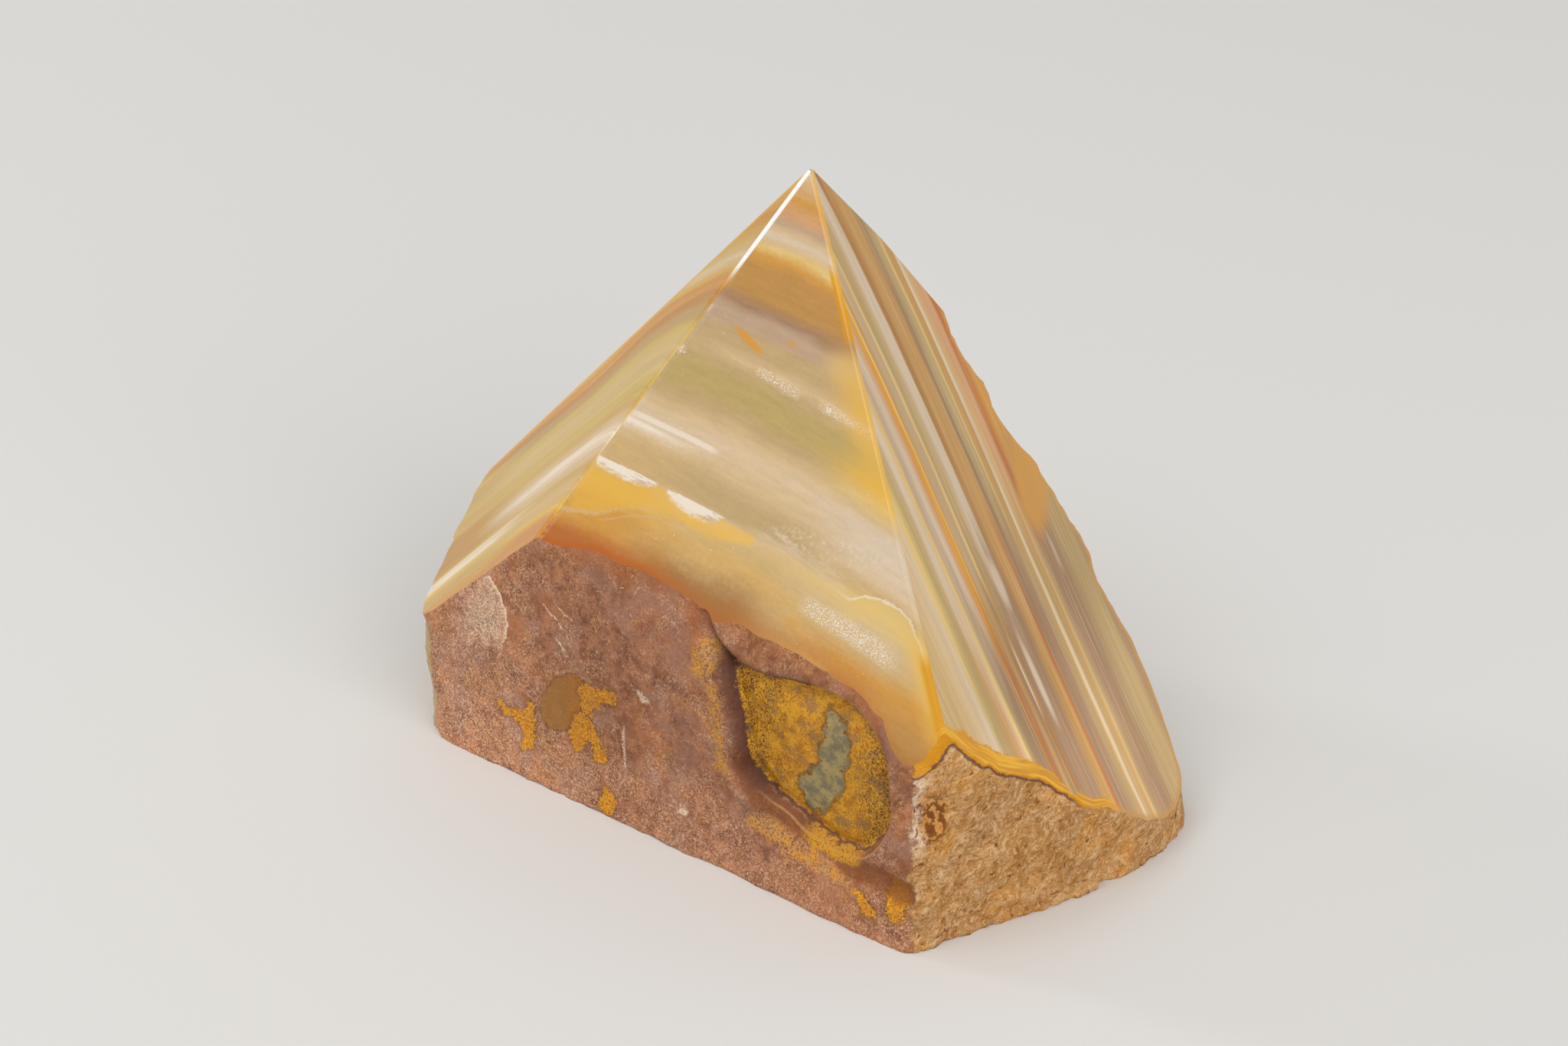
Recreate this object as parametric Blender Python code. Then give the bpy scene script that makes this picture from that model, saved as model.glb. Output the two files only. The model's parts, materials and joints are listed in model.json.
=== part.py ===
"""A polished agate point: a rough lump of banded agate, sawn flat below and ground to a point above.

The stone is one solid. It is made in the order in which the real one was: first the rough lump,
whose broken walls carry the eye-shaped hollow, the chips and the grain of the host rock, and then
the lap, which leaves seven flat facets near the tip.
Sizes are in millimetres and angles in degrees. The origin is the middle of the footprint, on the
sawn base, +Z is up, and -Y faces the viewer.
"""

import math

import bmesh
import bpy
from mathutils import Vector, noise

MM = 0.001
UP = Vector((0.0, 0.0, 1.0))

# The finished stone, about an axis near its middle
MIDDLE = Vector((-1.03, -0.23, 0.0))
"""The middle of the finished footprint, which becomes the origin."""
TIP = Vector((0.0, 7.5, 66.25))
RIDGE_ROUNDING = 0.45
LUMP_HEIGHT = 72.0

# Ground facets, which all pass through the tip: the way each one faces, and its slope from level
FACETS = {
    "left": (181.6, 51.6),
    "front": (239.3, 54.8),
    "right": (335.3, 54.8),
    "back_right": (36.0, 52.5),
    "back": (86.0, 52.0),
    "back_left": (132.0, 51.6),
}
# One steeper cut below the back right facet: the way it faces, its slope, and a point on it
SECOND_CUT = (41.0, 59.5)
SECOND_CUT_AT = Vector((6.3, 8.7, 58.8))

# Walls of the rough lump: the way each one faces, how far its foot is from the axis, and its lean
WALLS = {
    "rind": (230.8, 21.5, 0.0),
    "matrix": (299.5, 35.4, 0.5),
    "matrix_end": (322.0, 39.8, 2.0),
    "corner": (345.0, 40.9, 4.0),
    "break_low": (12.0, 36.7, 12.0),
    "break_middle": (32.0, 30.2, 11.0),
    "break_high": (49.0, 26.5, 12.0),
    "back": (90.0, 34.4, 6.0),
    "back_left": (128.0, 41.5, 5.0),
    "left": (157.5, 42.0, 2.0),
    "left_end": (185.0, 39.5, -5.0),
}
CORNER_ROUNDING = 0.9
FACES_AWAY = 0.12
"""A wall counts only for directions that it faces, by the cosine between the two."""

# Where each kind of wall lies, as directions from the axis, and how softly it gives way to the next
ZONES = {"rind": (176.0, 284.0, 3.0), "matrix": (288.0, 338.0, 5.0), "broken": (0.0, 168.0, 8.0)}

# Places on a wall are (along it to the right, up)
RIND_SWELLS = (
    ((14.0, 6.6), 5.0, 0.5),
    ((23.0, 5.0), 5.0, 0.5),
    ((-27.0, 16.0), 6.0, -0.4),
    ((-9.0, 8.0), 8.0, -0.3),
)
SHOULDER = ((-18.0, 31.3), (29.4, 21.3))
"""Where the front facet would meet the rind, if the rind were flat."""
ROLL_DEPTH = 2.4
ROLL_BELOW, ROLL_ABOVE = 3.0, 3.5
"""The rind rolls in towards that line, from so far below it to so far above it."""
ROLL_STARTS, ROLL_ENDS = (-18.0, -5.0), (29.5, 24.5)
"""Along the wall the roll grows over the first stretch and fades over the second."""
EYE_OUTLINE = (
    (2.6, 27.9), (9.2, 25.5), (16.0, 25.2), (22.2, 23.5), (26.4, 20.0), (27.0, 15.2),
    (24.0, 11.9), (18.2, 12.0), (12.1, 13.0), (8.6, 16.3), (6.6, 21.8),
)
EYE_DEPTH = 1.4
EYE_WALL = 1.9
EYE_RIM = (1.8, 0.4)
"""The rim's width and height."""
CLEFT = ((0.6, 29.2), (4.6, 25.8))
CLEFT_SIZE = (2.0, 0.8)
"""The cleft's half width and depth."""
TROUGH = ((7.8, 17.0), (11.0, 11.2), (20.0, 8.8), (29.0, 6.8))
TROUGH_SIZE = (3.6, 0.9)
"""The trough's half width and depth."""
MATRIX_SWELLS = (
    ((-0.6, 20.0), 9.0, 1.2),
    ((-7.6, 16.5), 3.2, -1.0),
    ((5.0, 7.0), 7.0, 0.4),
)
MATRIX_STEP = (13.4, 14.8, 0.8)
"""The host rock steps back at its far end: from where along it, to where, and how far."""

# Conchoidal chips in the broken wall: the way each lies from the axis, height, radius and depth
CHIPS = (
    (9.5, 39.5, 6.0, 2.4),
    (22.0, 45.8, 5.2, 1.9),
    (4.0, 31.5, 4.5, 0.9),
    (357.0, 22.0, 5.0, 1.0),
    (38.0, 30.0, 9.0, 1.8),
    (62.0, 22.0, 9.0, 1.8),
    (24.0, 13.0, 9.0, 1.6),
    (80.0, 9.0, 7.0, 1.2),
    (102.0, 20.0, 8.0, 1.4),
    (136.0, 12.0, 9.0, 1.5),
)

# Spacing of the lump's points
EYE_COLUMNS = 1.1
FRONT_COLUMNS = 1.6
BACK_COLUMNS = 2.7
ROWS = 1.2
UPPER_ROWS = 2.3
ROWS_CHANGE_AT = 32.0


def direction(azimuth):
    """The level direction that a wall or a facet faces."""
    angle = math.radians(azimuth)
    return Vector((math.cos(angle), math.sin(angle), 0.0))


def along(azimuth):
    """The level direction to the right on a wall, as seen from outside."""
    return direction(azimuth + 90.0)


def smooth_step(low, high, value):
    share = min(1.0, max(0.0, (value - low) / (high - low)))
    return share * share * (3.0 - 2.0 * share)


def bump(distance, radius):
    """A round hump of height 1 that fades to 0 at its radius."""
    return max(0.0, 1.0 - (distance / radius) ** 2) ** 2


def closed_curve(points, steps=6):
    """A smooth closed line through the points, as many short straight ones."""
    line = []
    count = len(points)
    for i in range(count):
        before, start, end, after = (Vector(points[(i + k) % count]) for k in (-1, 0, 1, 2))
        for step in range(steps):
            t = step / steps
            turn = (before * -1 + start * 3 - end * 3 + after) * t**3
            bend = (before * 2 - start * 5 + end * 4 - after) * t**2
            line.append((start * 2 + (end - before) * t + bend + turn) / 2)
    return line


def distance_to_segment(point, start, end):
    edge = end - start
    share = min(1.0, max(0.0, (point - start).dot(edge) / edge.length_squared))
    return (point - start - edge * share).length


def distance_to_path(point, path):
    corners = [Vector(corner) for corner in path]
    return min(distance_to_segment(point, *pair) for pair in zip(corners, corners[1:]))


EYE_LINE = closed_curve(EYE_OUTLINE)


def depth_in_eye(point):
    """How far a place on the rind is inside the eye's outline, below 0 outside it."""
    inside = False
    nearest = math.inf
    for start, end in zip(EYE_LINE, EYE_LINE[1:] + EYE_LINE[:1]):
        nearest = min(nearest, distance_to_segment(point, start, end))
        if (start.y > point.y) != (end.y > point.y):
            crossing = start.x + (point.y - start.y) / (end.y - start.y) * (end.x - start.x)
            inside ^= point.x < crossing
    return nearest if inside else -nearest


def swell(place, swells):
    return sum(height * bump((place - Vector(centre)).length, radius) for centre, radius, height in swells)


def shoulder_roll(place):
    """How far the rind has rolled in below the front facet."""
    left, right = (Vector(end) for end in SHOULDER)
    line_height = left.y + (place.x - left.x) / (right.x - left.x) * (right.y - left.y)
    roll = smooth_step(-ROLL_BELOW, ROLL_ABOVE, place.y - line_height)
    return ROLL_DEPTH * roll * smooth_step(*ROLL_STARTS, place.x) * smooth_step(*ROLL_ENDS, place.x)


def rind_relief(place):
    """The rind swells and rolls, and sinks into the eye, its cleft and the trough below it."""
    relief = swell(place, RIND_SWELLS) - shoulder_roll(place)
    inside = depth_in_eye(place)
    rim_width, rim_height = EYE_RIM
    relief -= EYE_DEPTH * smooth_step(0.0, EYE_WALL, inside)
    relief += rim_height * bump(inside + 0.9, rim_width)
    for path, (half_width, depth) in ((CLEFT, CLEFT_SIZE), (TROUGH, TROUGH_SIZE)):
        relief -= depth * bump(distance_to_path(place, path), half_width)
    return relief


def matrix_relief(place):
    """The host rock swells under its crust and steps back at its far end."""
    start, end, depth = MATRIX_STEP
    return swell(place, MATRIX_SWELLS) - depth * smooth_step(start, end, place.x)


def chip_relief(azimuth, reach, height):
    """The deepest of the chips that reach this point of the broken wall."""
    deepest = 0.0
    point = direction(azimuth) * reach + UP * height
    for facing, centre_height, radius, depth in CHIPS:
        distance = (point - direction(facing) * reach - UP * centre_height).length
        deepest = min(deepest, -depth * max(0.0, 1.0 - (distance / radius) ** 2))
    return deepest


def share_of(zone, azimuth):
    """How far a direction belongs to one kind of wall, from 0 to 1."""
    first, last, width = ZONES[zone]
    middle, half = (first + last) / 2, (last - first) / 2
    turn = abs((azimuth - middle + 180.0) % 360.0 - 180.0)
    return smooth_step(half + width, half, turn)


def wall_radius(azimuth, height):
    """How far the lump's plain walls are from the axis: the nearest one, with rounded corners."""
    total = 0.0
    for facing, foot, lean in WALLS.values():
        turn = math.cos(math.radians(azimuth - facing))
        if turn > FACES_AWAY:
            reach = (foot - height * math.tan(math.radians(lean))) / turn
            total += math.exp(-reach / CORNER_ROUNDING)
    return -CORNER_ROUNDING * math.log(total)


def lump_point(azimuth, height):
    """One point of the rough lump's skin."""
    reach = wall_radius(azimuth, height)
    outward = direction(azimuth)
    point = outward * reach + UP * height
    moved = point.copy()
    for zone, relief in (("rind", rind_relief), ("matrix", matrix_relief)):
        facing = WALLS[zone][0]
        place = Vector((point.dot(along(facing)), height))
        moved += direction(facing) * relief(place) * share_of(zone, azimuth)
    on_broken = share_of("broken", azimuth)
    broad = noise.fractal(point * 0.16, 1.0, 2.0, 3)
    lumps = noise.fractal(point * 0.45 + Vector((9.0, 4.0, 2.0)), 1.0, 2.0, 3)
    moved += outward * 0.3 * broad
    moved += outward * lumps * (0.3 * share_of("matrix", azimuth) + 0.5 * on_broken)
    return moved + outward * chip_relief(azimuth, reach, height) * on_broken


def column_azimuths():
    """Directions round the lump: closest together at the eye, and widest behind."""
    azimuths, azimuth = [], 0.0
    while azimuth < 360.0:
        azimuths.append(azimuth)
        at_eye = 228.0 < azimuth < 288.0
        in_front = 178.0 < azimuth < 345.0
        spacing = EYE_COLUMNS if at_eye else FRONT_COLUMNS if in_front else BACK_COLUMNS
        across = abs(math.cos(math.radians(azimuth - WALLS["rind"][0]))) if at_eye else 1.0
        azimuth += math.degrees(spacing * across / wall_radius(azimuth, 10.0))
    return azimuths


def row_heights():
    """Heights of the lump's rings: close together where the walls show, wider inside the point."""
    heights, height = [0.0, 0.5], 0.5 + ROWS
    while height < LUMP_HEIGHT - UPPER_ROWS:
        heights.append(height)
        height += ROWS if height < ROWS_CHANGE_AT else UPPER_ROWS
    return heights + [LUMP_HEIGHT]


def make_lump():
    """The rough lump: rings of points, closed below by the sawn face and above by a lid."""
    shape = bmesh.new()
    azimuths = column_azimuths()
    rings = [
        [shape.verts.new((lump_point(azimuth, height) - MIDDLE) * MM) for azimuth in azimuths]
        for height in row_heights()
    ]
    for lower, upper in zip(rings, rings[1:]):
        for i in range(len(azimuths)):
            j = (i + 1) % len(azimuths)
            shape.faces.new((lower[i], lower[j], upper[j], upper[i]))
    shape.faces.new(reversed(rings[0]))
    shape.faces.new(rings[-1])
    return mesh_object("agate_point", shape)


def facet_planes():
    """Each ground plane as a point on it and its outward normal."""
    planes = [(TIP, facing, slope) for facing, slope in FACETS.values()]
    planes.append((SECOND_CUT_AT, *SECOND_CUT))
    for point, facing, slope in planes:
        steep = math.radians(slope)
        yield point - MIDDLE, direction(facing) * math.sin(steep) + UP * math.cos(steep)


def make_lap_block():
    """What the lap leaves: a block cut by every ground plane, with its ridges just broken."""
    shape = bmesh.new()
    bmesh.ops.create_cube(shape, size=240.0 * MM)
    for point, normal in facet_planes():
        geometry = shape.verts[:] + shape.edges[:] + shape.faces[:]
        cut = bmesh.ops.bisect_plane(
            shape, geom=geometry, plane_co=point * MM, plane_no=normal, clear_outer=True, dist=1e-7
        )
        rim = [item for item in cut["geom_cut"] if isinstance(item, bmesh.types.BMEdge)]
        bmesh.ops.contextual_create(shape, geom=rim)
    bmesh.ops.remove_doubles(shape, verts=shape.verts[:], dist=1e-6)
    ridges = [edge for edge in shape.edges if all(face.normal.z > 0.2 for face in edge.link_faces)]
    bmesh.ops.bevel(
        shape, geom=ridges, offset=RIDGE_ROUNDING * MM, offset_type="OFFSET", segments=2,
        profile=0.5, affect="EDGES", clamp_overlap=True,
    )
    block = mesh_object("lap_block", shape)
    block.hide_render = True
    block.display_type = "WIRE"
    return block


def mesh_object(name, shape):
    bmesh.ops.recalc_face_normals(shape, faces=shape.faces[:])
    mesh = bpy.data.meshes.new(name)
    shape.to_mesh(mesh)
    shape.free()
    made = bpy.data.objects.new(name, mesh)
    bpy.context.scene.collection.objects.link(made)
    return made


def agate_material():
    material = bpy.data.materials.new("agate")
    material.use_nodes = True
    shader = material.node_tree.nodes["Principled BSDF"]
    shader.inputs["Base Color"].default_value = (0.57, 0.38, 0.18, 1.0)
    shader.inputs["Roughness"].default_value = 0.3
    shader.inputs["Metallic"].default_value = 0.0
    return material


def main():
    for old in list(bpy.data.objects):
        bpy.data.objects.remove(old)
    stone = make_lump()
    stone.data.materials.append(agate_material())
    grind = stone.modifiers.new("grind", "BOOLEAN")
    grind.operation = "INTERSECT"
    grind.solver = "EXACT"
    grind.object = make_lap_block()


main()
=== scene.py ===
# %% [markdown]
# # A polished agate point
#
# The object is one stone: a lump of banded agate that somebody sawed flat below and ground to a
# point above. Seven flat facets near the tip are polished like glass. Below them the old skin of
# the lump is left as it was found: a mauve-brown rind with an eye-shaped hollow, a strip of
# crumbly host rock, and walls where the lump simply broke.
#
# This script dresses that stone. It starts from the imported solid, makes a finer mesh of the same
# shape, and paints it with materials worked out from sizes in millimetres.

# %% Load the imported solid
import json
import math

import bmesh
import bpy
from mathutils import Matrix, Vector, kdtree, noise

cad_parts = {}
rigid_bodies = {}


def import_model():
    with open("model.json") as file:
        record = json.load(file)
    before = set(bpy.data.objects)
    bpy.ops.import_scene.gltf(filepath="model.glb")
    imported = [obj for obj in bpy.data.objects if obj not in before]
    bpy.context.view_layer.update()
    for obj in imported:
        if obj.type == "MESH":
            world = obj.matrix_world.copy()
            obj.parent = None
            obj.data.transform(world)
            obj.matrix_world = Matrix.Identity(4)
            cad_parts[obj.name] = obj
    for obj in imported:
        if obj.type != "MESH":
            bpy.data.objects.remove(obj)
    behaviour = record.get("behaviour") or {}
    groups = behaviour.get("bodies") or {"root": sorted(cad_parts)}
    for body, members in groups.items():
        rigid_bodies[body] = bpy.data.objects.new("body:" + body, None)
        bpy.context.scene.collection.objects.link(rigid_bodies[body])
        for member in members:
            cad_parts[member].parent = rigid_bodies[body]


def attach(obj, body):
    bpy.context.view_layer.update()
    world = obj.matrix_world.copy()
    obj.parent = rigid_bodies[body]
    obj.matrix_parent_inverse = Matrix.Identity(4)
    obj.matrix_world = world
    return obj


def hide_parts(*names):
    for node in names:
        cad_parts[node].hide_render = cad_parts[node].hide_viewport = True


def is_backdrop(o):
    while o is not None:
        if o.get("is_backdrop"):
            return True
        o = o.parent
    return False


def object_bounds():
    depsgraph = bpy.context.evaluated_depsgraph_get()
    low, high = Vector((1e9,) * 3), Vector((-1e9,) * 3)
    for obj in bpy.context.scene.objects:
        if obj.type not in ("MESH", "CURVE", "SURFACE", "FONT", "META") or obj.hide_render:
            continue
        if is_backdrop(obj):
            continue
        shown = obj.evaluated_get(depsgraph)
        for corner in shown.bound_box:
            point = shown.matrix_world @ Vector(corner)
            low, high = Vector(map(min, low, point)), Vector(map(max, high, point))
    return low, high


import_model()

for leftover in [thing for thing in bpy.data.objects if thing.name in ("Cube", "Light", "Camera")]:
    bpy.data.objects.remove(leftover)
cad_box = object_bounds()
print("The packed solid is", [round((high - low) * 1000, 1) for low, high in zip(*cad_box)], "mm")

# %% [markdown]
# ## Measures and small helpers
#
# A lapidary thinks in millimetres and in the direction that each face looks, so the sizes below
# are in millimetres and degrees, and one factor turns them into Blender's metres at the end.
# A soft step and a round bump are all that the relief of a stone needs: every hollow, chip and
# swelling is one of the two.

# %% Measures and helpers
MM = 0.001
UP = Vector((0.0, 0.0, 1.0))
MIDDLE = Vector((-1.03, -0.23, 0.0))


def direction(azimuth):
    """The level direction that a wall or a facet faces."""
    angle = math.radians(azimuth)
    return Vector((math.cos(angle), math.sin(angle), 0.0))


def along(azimuth):
    """The level direction to the right on a wall, as seen from outside."""
    return direction(azimuth + 90.0)


def smooth_step(low, high, value):
    share = min(1.0, max(0.0, (value - low) / (high - low)))
    return share * share * (3.0 - 2.0 * share)


def bump(distance, radius):
    """A round hump of height 1 that fades to 0 at its radius."""
    return max(0.0, 1.0 - (distance / radius) ** 2) ** 2


print("A bump of radius 3 mm is", round(bump(1.5, 3.0), 2), "high halfway out")

# %% [markdown]
# ## The ground planes
#
# On the real stone each facet was held against a flat lap, so it is a true plane, and six of the
# seven run through the tip. Blender could cut them with a Boolean, but a plane cut is simpler and
# exact: `bisect_plane` keeps what lies below the plane, and the open rim is closed with one face.
#
# A lapidary also breaks each ridge lightly, because a knife edge would chip. Three narrow planes
# that touch a small circle between two facets leave a ridge that catches the light, and a last
# level cut blunts the tip by a third of a millimetre.

# %% The ground planes
TIP = Vector((0.0, 7.5, 66.25))
FACETS = {
    "left": (181.6, 51.6),
    "front": (239.3, 54.8),
    "right": (335.3, 54.8),
    "back_right": (36.0, 52.5),
    "back": (86.0, 52.0),
    "back_left": (132.0, 51.6),
}
SECOND_CUT = (41.0, 59.5)
SECOND_CUT_AT = Vector((6.3, 8.7, 58.8))
RIDGE_RADIUS = 0.55
TIP_WORN = 0.35


def facing_up(azimuth, slope):
    """The outward normal of a plane that faces one way and slopes from level."""
    steep = math.radians(slope)
    return direction(azimuth) * math.sin(steep) + UP * math.cos(steep)


def ridge_planes(one, other):
    """Three planes that round the ridge between two facets, as points and normals."""
    half_turn = one.angle(other) / 2
    for share in (0.25, 0.5, 0.75):
        normal = one.slerp(other, share)
        away = (share - 0.5) * 2 * half_turn
        depth = RIDGE_RADIUS * (math.cos(away) / math.cos(half_turn) - 1.0)
        yield TIP - normal * depth, normal


NORMALS = {name: facing_up(*facet) for name, facet in FACETS.items()}
laps = [(TIP, normal, name) for name, normal in NORMALS.items()]
laps.append((SECOND_CUT_AT, facing_up(*SECOND_CUT), "back_right"))
ground = list(laps)
names = list(NORMALS)
for name, after in zip(names, names[1:] + names[:1]):
    ground += [(point, normal, name) for point, normal in ridge_planes(NORMALS[name], NORMALS[after])]
ground.append((TIP - UP * TIP_WORN, UP, "front"))
print(len(ground), "plane cuts shape the point")

# %% [markdown]
# ## The walls of the lump
#
# Before it met the lap, the lump had eleven plain walls. Seen from above, the outline is the
# nearest wall in each direction, with softened corners, so one sum of exponentials gives the
# radius at once and never leaves a crease that the real stone doesn't have.
#
# Each wall has the direction it faces, its distance from the axis at the foot, and its lean.

# %% The walls of the lump
WALLS = {
    "rind": (230.8, 21.5, 0.0),
    "matrix": (299.5, 35.4, 0.5),
    "matrix_end": (322.0, 39.8, 2.0),
    "corner": (345.0, 41.4, 4.0),
    "break_low": (12.0, 36.7, 12.0),
    "break_middle": (32.0, 30.2, 11.0),
    "break_high": (49.0, 26.5, 12.0),
    "back": (90.0, 34.4, 6.0),
    "back_left": (128.0, 41.5, 5.0),
    "left": (157.5, 42.0, 2.0),
    "left_end": (185.0, 39.5, -5.0),
}
CORNER_ROUNDING = 0.9
FACES_AWAY = 0.12
ZONES = {"rind": (176.0, 284.0, 3.0), "matrix": (288.0, 338.0, 5.0), "broken": (0.0, 168.0, 8.0)}


def wall_radius(azimuth, height):
    """How far the lump's plain walls are from the axis: the nearest one, with rounded corners."""
    total = 0.0
    for facing, foot, lean in WALLS.values():
        turn = math.cos(math.radians(azimuth - facing))
        if turn > FACES_AWAY:
            reach = (foot - height * math.tan(math.radians(lean))) / turn
            total += math.exp(-reach / CORNER_ROUNDING)
    return -CORNER_ROUNDING * math.log(total)


def share_of(span, azimuth):
    """How far a direction belongs to a span of them that fades over a width, from 0 to 1."""
    first, last, width = span
    middle, half = (first + last) / 2, (last - first) / 2
    turn = abs((azimuth - middle + 180.0) % 360.0 - 180.0)
    return smooth_step(half + width, half, turn)


RIND_FACING, ROCK_FACING = WALLS["rind"][0], WALLS["matrix"][0]
print("The rind is", round(wall_radius(RIND_FACING, 10.0), 1), "mm from the axis")

# %% [markdown]
# ## Outlines drawn on the rind
#
# The eye-shaped hollow, the pale flake and the ochre stains have outlines of their own. Each is a
# short list of places on the wall, given as millimetres to the right and up, and a smooth curve
# runs through them. How far a place lies inside such an outline is all that both the relief and
# the colours need to know.

# %% Outlines on the rind
EYE = (
    (3.0, 27.4), (6.0, 25.6), (9.0, 25.1), (12.3, 25.2), (15.5, 25.6), (18.6, 25.5), (21.8, 24.7),
    (24.6, 23.0), (26.5, 20.5), (27.5, 17.4), (27.4, 14.2), (25.8, 11.0), (23.4, 8.7), (19.6, 8.2),
    (16.2, 9.1), (13.8, 10.2), (10.9, 10.8), (8.2, 12.3), (7.5, 15.3), (6.9, 18.3), (6.0, 21.6),
    (4.6, 24.8),
)
FLAKE = (
    (-29.9, 19.4), (-27.8, 21.5), (-25.3, 23.2), (-24.0, 21.7), (-23.3, 19.7), (-23.1, 17.9),
    (-24.0, 15.7), (-25.7, 14.1), (-27.6, 13.0), (-29.3, 13.6), (-30.2, 16.5),
)
DULL_PATCH = (
    (-18.0, 12.4), (-15.4, 15.1), (-13.0, 15.8), (-12.3, 14.2), (-13.2, 11.5), (-14.0, 9.5),
    (-17.1, 7.9), (-18.5, 9.4),
)
OCHRE_SPOTS = (
    ((-13.1, 15.0), (-9.7, 15.3), (-8.5, 15.7), (-8.5, 14.3), (-10.2, 13.5), (-11.9, 11.9), (-13.1, 11.6)),
    ((-13.4, 11.3), (-11.9, 11.1), (-11.3, 9.0), (-10.0, 7.7), (-10.3, 6.4), (-11.5, 6.6), (-12.2, 8.0),
     (-14.1, 6.9), (-14.9, 8.5)),
    ((-24.3, 8.4), (-21.0, 8.4), (-20.4, 10.0), (-19.6, 9.4), (-19.5, 7.1), (-20.1, 4.3), (-21.6, 3.9),
     (-21.1, 6.0), (-22.5, 7.0), (-24.7, 7.1)),
    ((27.3, 8.1), (28.8, 7.9), (29.3, 5.3), (27.9, 3.3), (26.9, 5.2)),
    ((24.0, 5.3), (25.5, 4.5), (25.5, 2.7), (24.3, 2.9)),
    ((-10.5, 3.2), (-8.9, 2.9), (-8.3, 1.7), (-9.5, 0.5), (-10.8, 1.1)),
)
CRUMBS = (
    ((4.4, 21.6), (5.6, 21.6), (6.1, 17.7), (6.6, 14.7), (6.3, 12.3), (5.0, 12.8), (4.6, 17.2)),
    ((2.1, 25.4), (4.3, 26.7), (5.0, 24.3), (4.3, 22.2), (2.3, 22.3)),
    ((9.5, 8.2), (12.2, 9.0), (15.6, 8.1), (20.4, 6.8), (24.0, 5.2), (19.6, 5.5), (16.1, 5.9),
     (12.7, 6.9), (10.0, 7.1)),
)
WINDOW_OUTLINE = (
    (17.8, 23.1), (18.9, 22.8), (20.3, 21.6), (21.1, 19.7), (20.3, 17.2), (20.2, 15.3), (18.9, 12.9),
    (17.0, 11.4), (15.3, 12.3), (14.8, 14.4), (16.0, 15.5), (17.2, 16.8), (17.4, 18.2), (17.8, 20.6),
)
CURVE_STEPS = 5
WIDE_MARGIN, NARROW_MARGIN = 4.0, 2.0


def closed_curve(points):
    """A smooth closed line (a Catmull-Rom curve) through the points, as many short straight ones."""
    line = []
    count = len(points)
    for i in range(count):
        before, start, end, after = (Vector(points[(i + k) % count]) for k in (-1, 0, 1, 2))
        for step in range(CURVE_STEPS):
            t = step / CURVE_STEPS
            turn = (before * -1 + start * 3 - end * 3 + after) * t**3
            bend = (before * 2 - start * 5 + end * 4 - after) * t**2
            line.append((start * 2 + (end - before) * t + bend + turn) / 2)
    return line


def distance_to_segment(point, start, end):
    edge = end - start
    share = min(1.0, max(0.0, (point - start).dot(edge) / edge.length_squared))
    return (point - start - edge * share).length


def distance_to_path(point, path):
    corners = [Vector(corner) for corner in path]
    return min(distance_to_segment(point, *pair) for pair in zip(corners, corners[1:]))


class Outline:
    """A closed line on the rind. It tells how far inside it a place is, below 0 outside it."""

    def __init__(self, points, margin):
        self.line = closed_curve(points)
        self.low = Vector(min(p[i] for p in self.line) - margin for i in (0, 1))
        self.high = Vector(max(p[i] for p in self.line) + margin for i in (0, 1))
        self.margin = margin

    def depth(self, place):
        if not all(self.low[i] < place[i] < self.high[i] for i in (0, 1)):
            return -self.margin
        inside = False
        nearest = math.inf
        for start, end in zip(self.line, self.line[1:] + self.line[:1]):
            nearest = min(nearest, distance_to_segment(place, start, end))
            if (start.y > place.y) != (end.y > place.y):
                crossing = start.x + (place.y - start.y) / (end.y - start.y) * (end.x - start.x)
                inside ^= place.x < crossing
        return nearest if inside else -min(nearest, self.margin)


eye, flake = Outline(EYE, WIDE_MARGIN), Outline(FLAKE, WIDE_MARGIN)
drawn = {
    name: [Outline(points, NARROW_MARGIN) for points in shapes]
    for name, shapes in (
        ("dull", [DULL_PATCH]), ("ochre", OCHRE_SPOTS), ("crumbs", CRUMBS), ("window", [WINDOW_OUTLINE]),
    )
}
print("The middle of the eye is", round(eye.depth(Vector((17.0, 18.5))), 1), "mm inside its outline")

# %% [markdown]
# ## The relief of the rind and the rock
#
# Weather has rounded the rind: it rolls in under the front facet, sinks into the eye and into a
# trough below it, and a cleft runs up from the eye's left corner. The host rock swells a little
# and steps back at its far end. The solid has the same forms, coarser and with a shallower roll, so
# the dressed stone and the solid stay the same size.
#
# The rim list says, from left to right, how high the polished facet ends and how far the rind has
# rolled in below it. A swell has a centre, a radius and a height. A chip has the direction it
# faces, its height on the wall, a radius and a depth.

# %% The relief of the rind and the rock
RIND_SWELLS = (
    ((14.0, 6.6), 5.0, 0.5),
    ((23.0, 5.0), 5.0, 0.5),
    ((-27.0, 16.0), 6.0, -0.4),
    ((-9.0, 8.0), 8.0, -0.3),
)
RIM = (
    (-60.0, 30.4, 0.0), (-18.3, 30.4, 0.0), (-14.7, 30.5, 0.35), (-11.6, 30.7, 0.9), (-9.3, 30.6, 1.2),
    (-6.5, 30.6, 1.6), (-4.2, 30.4, 1.85), (0.4, 29.3, 1.8), (4.3, 28.7, 1.9), (8.4, 28.3, 2.2),
    (13.8, 27.8, 2.7), (17.5, 27.7, 3.1), (20.6, 26.9, 3.05), (23.0, 26.4, 2.95), (24.6, 25.6, 2.65),
    (26.3, 23.7, 1.6), (28.4, 21.7, 0.5), (31.0, 20.3, 0.1), (60.0, 20.3, 0.0),
)
ROLL_BELOW = (-6.8, -0.2)
EYE_DEPTH = 1.6
EYE_WALL = 1.2
EYE_RIM_OUTSIDE, EYE_RIM_WIDTH, EYE_RIM_HEIGHT = 0.9, 1.8, 0.4
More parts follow.
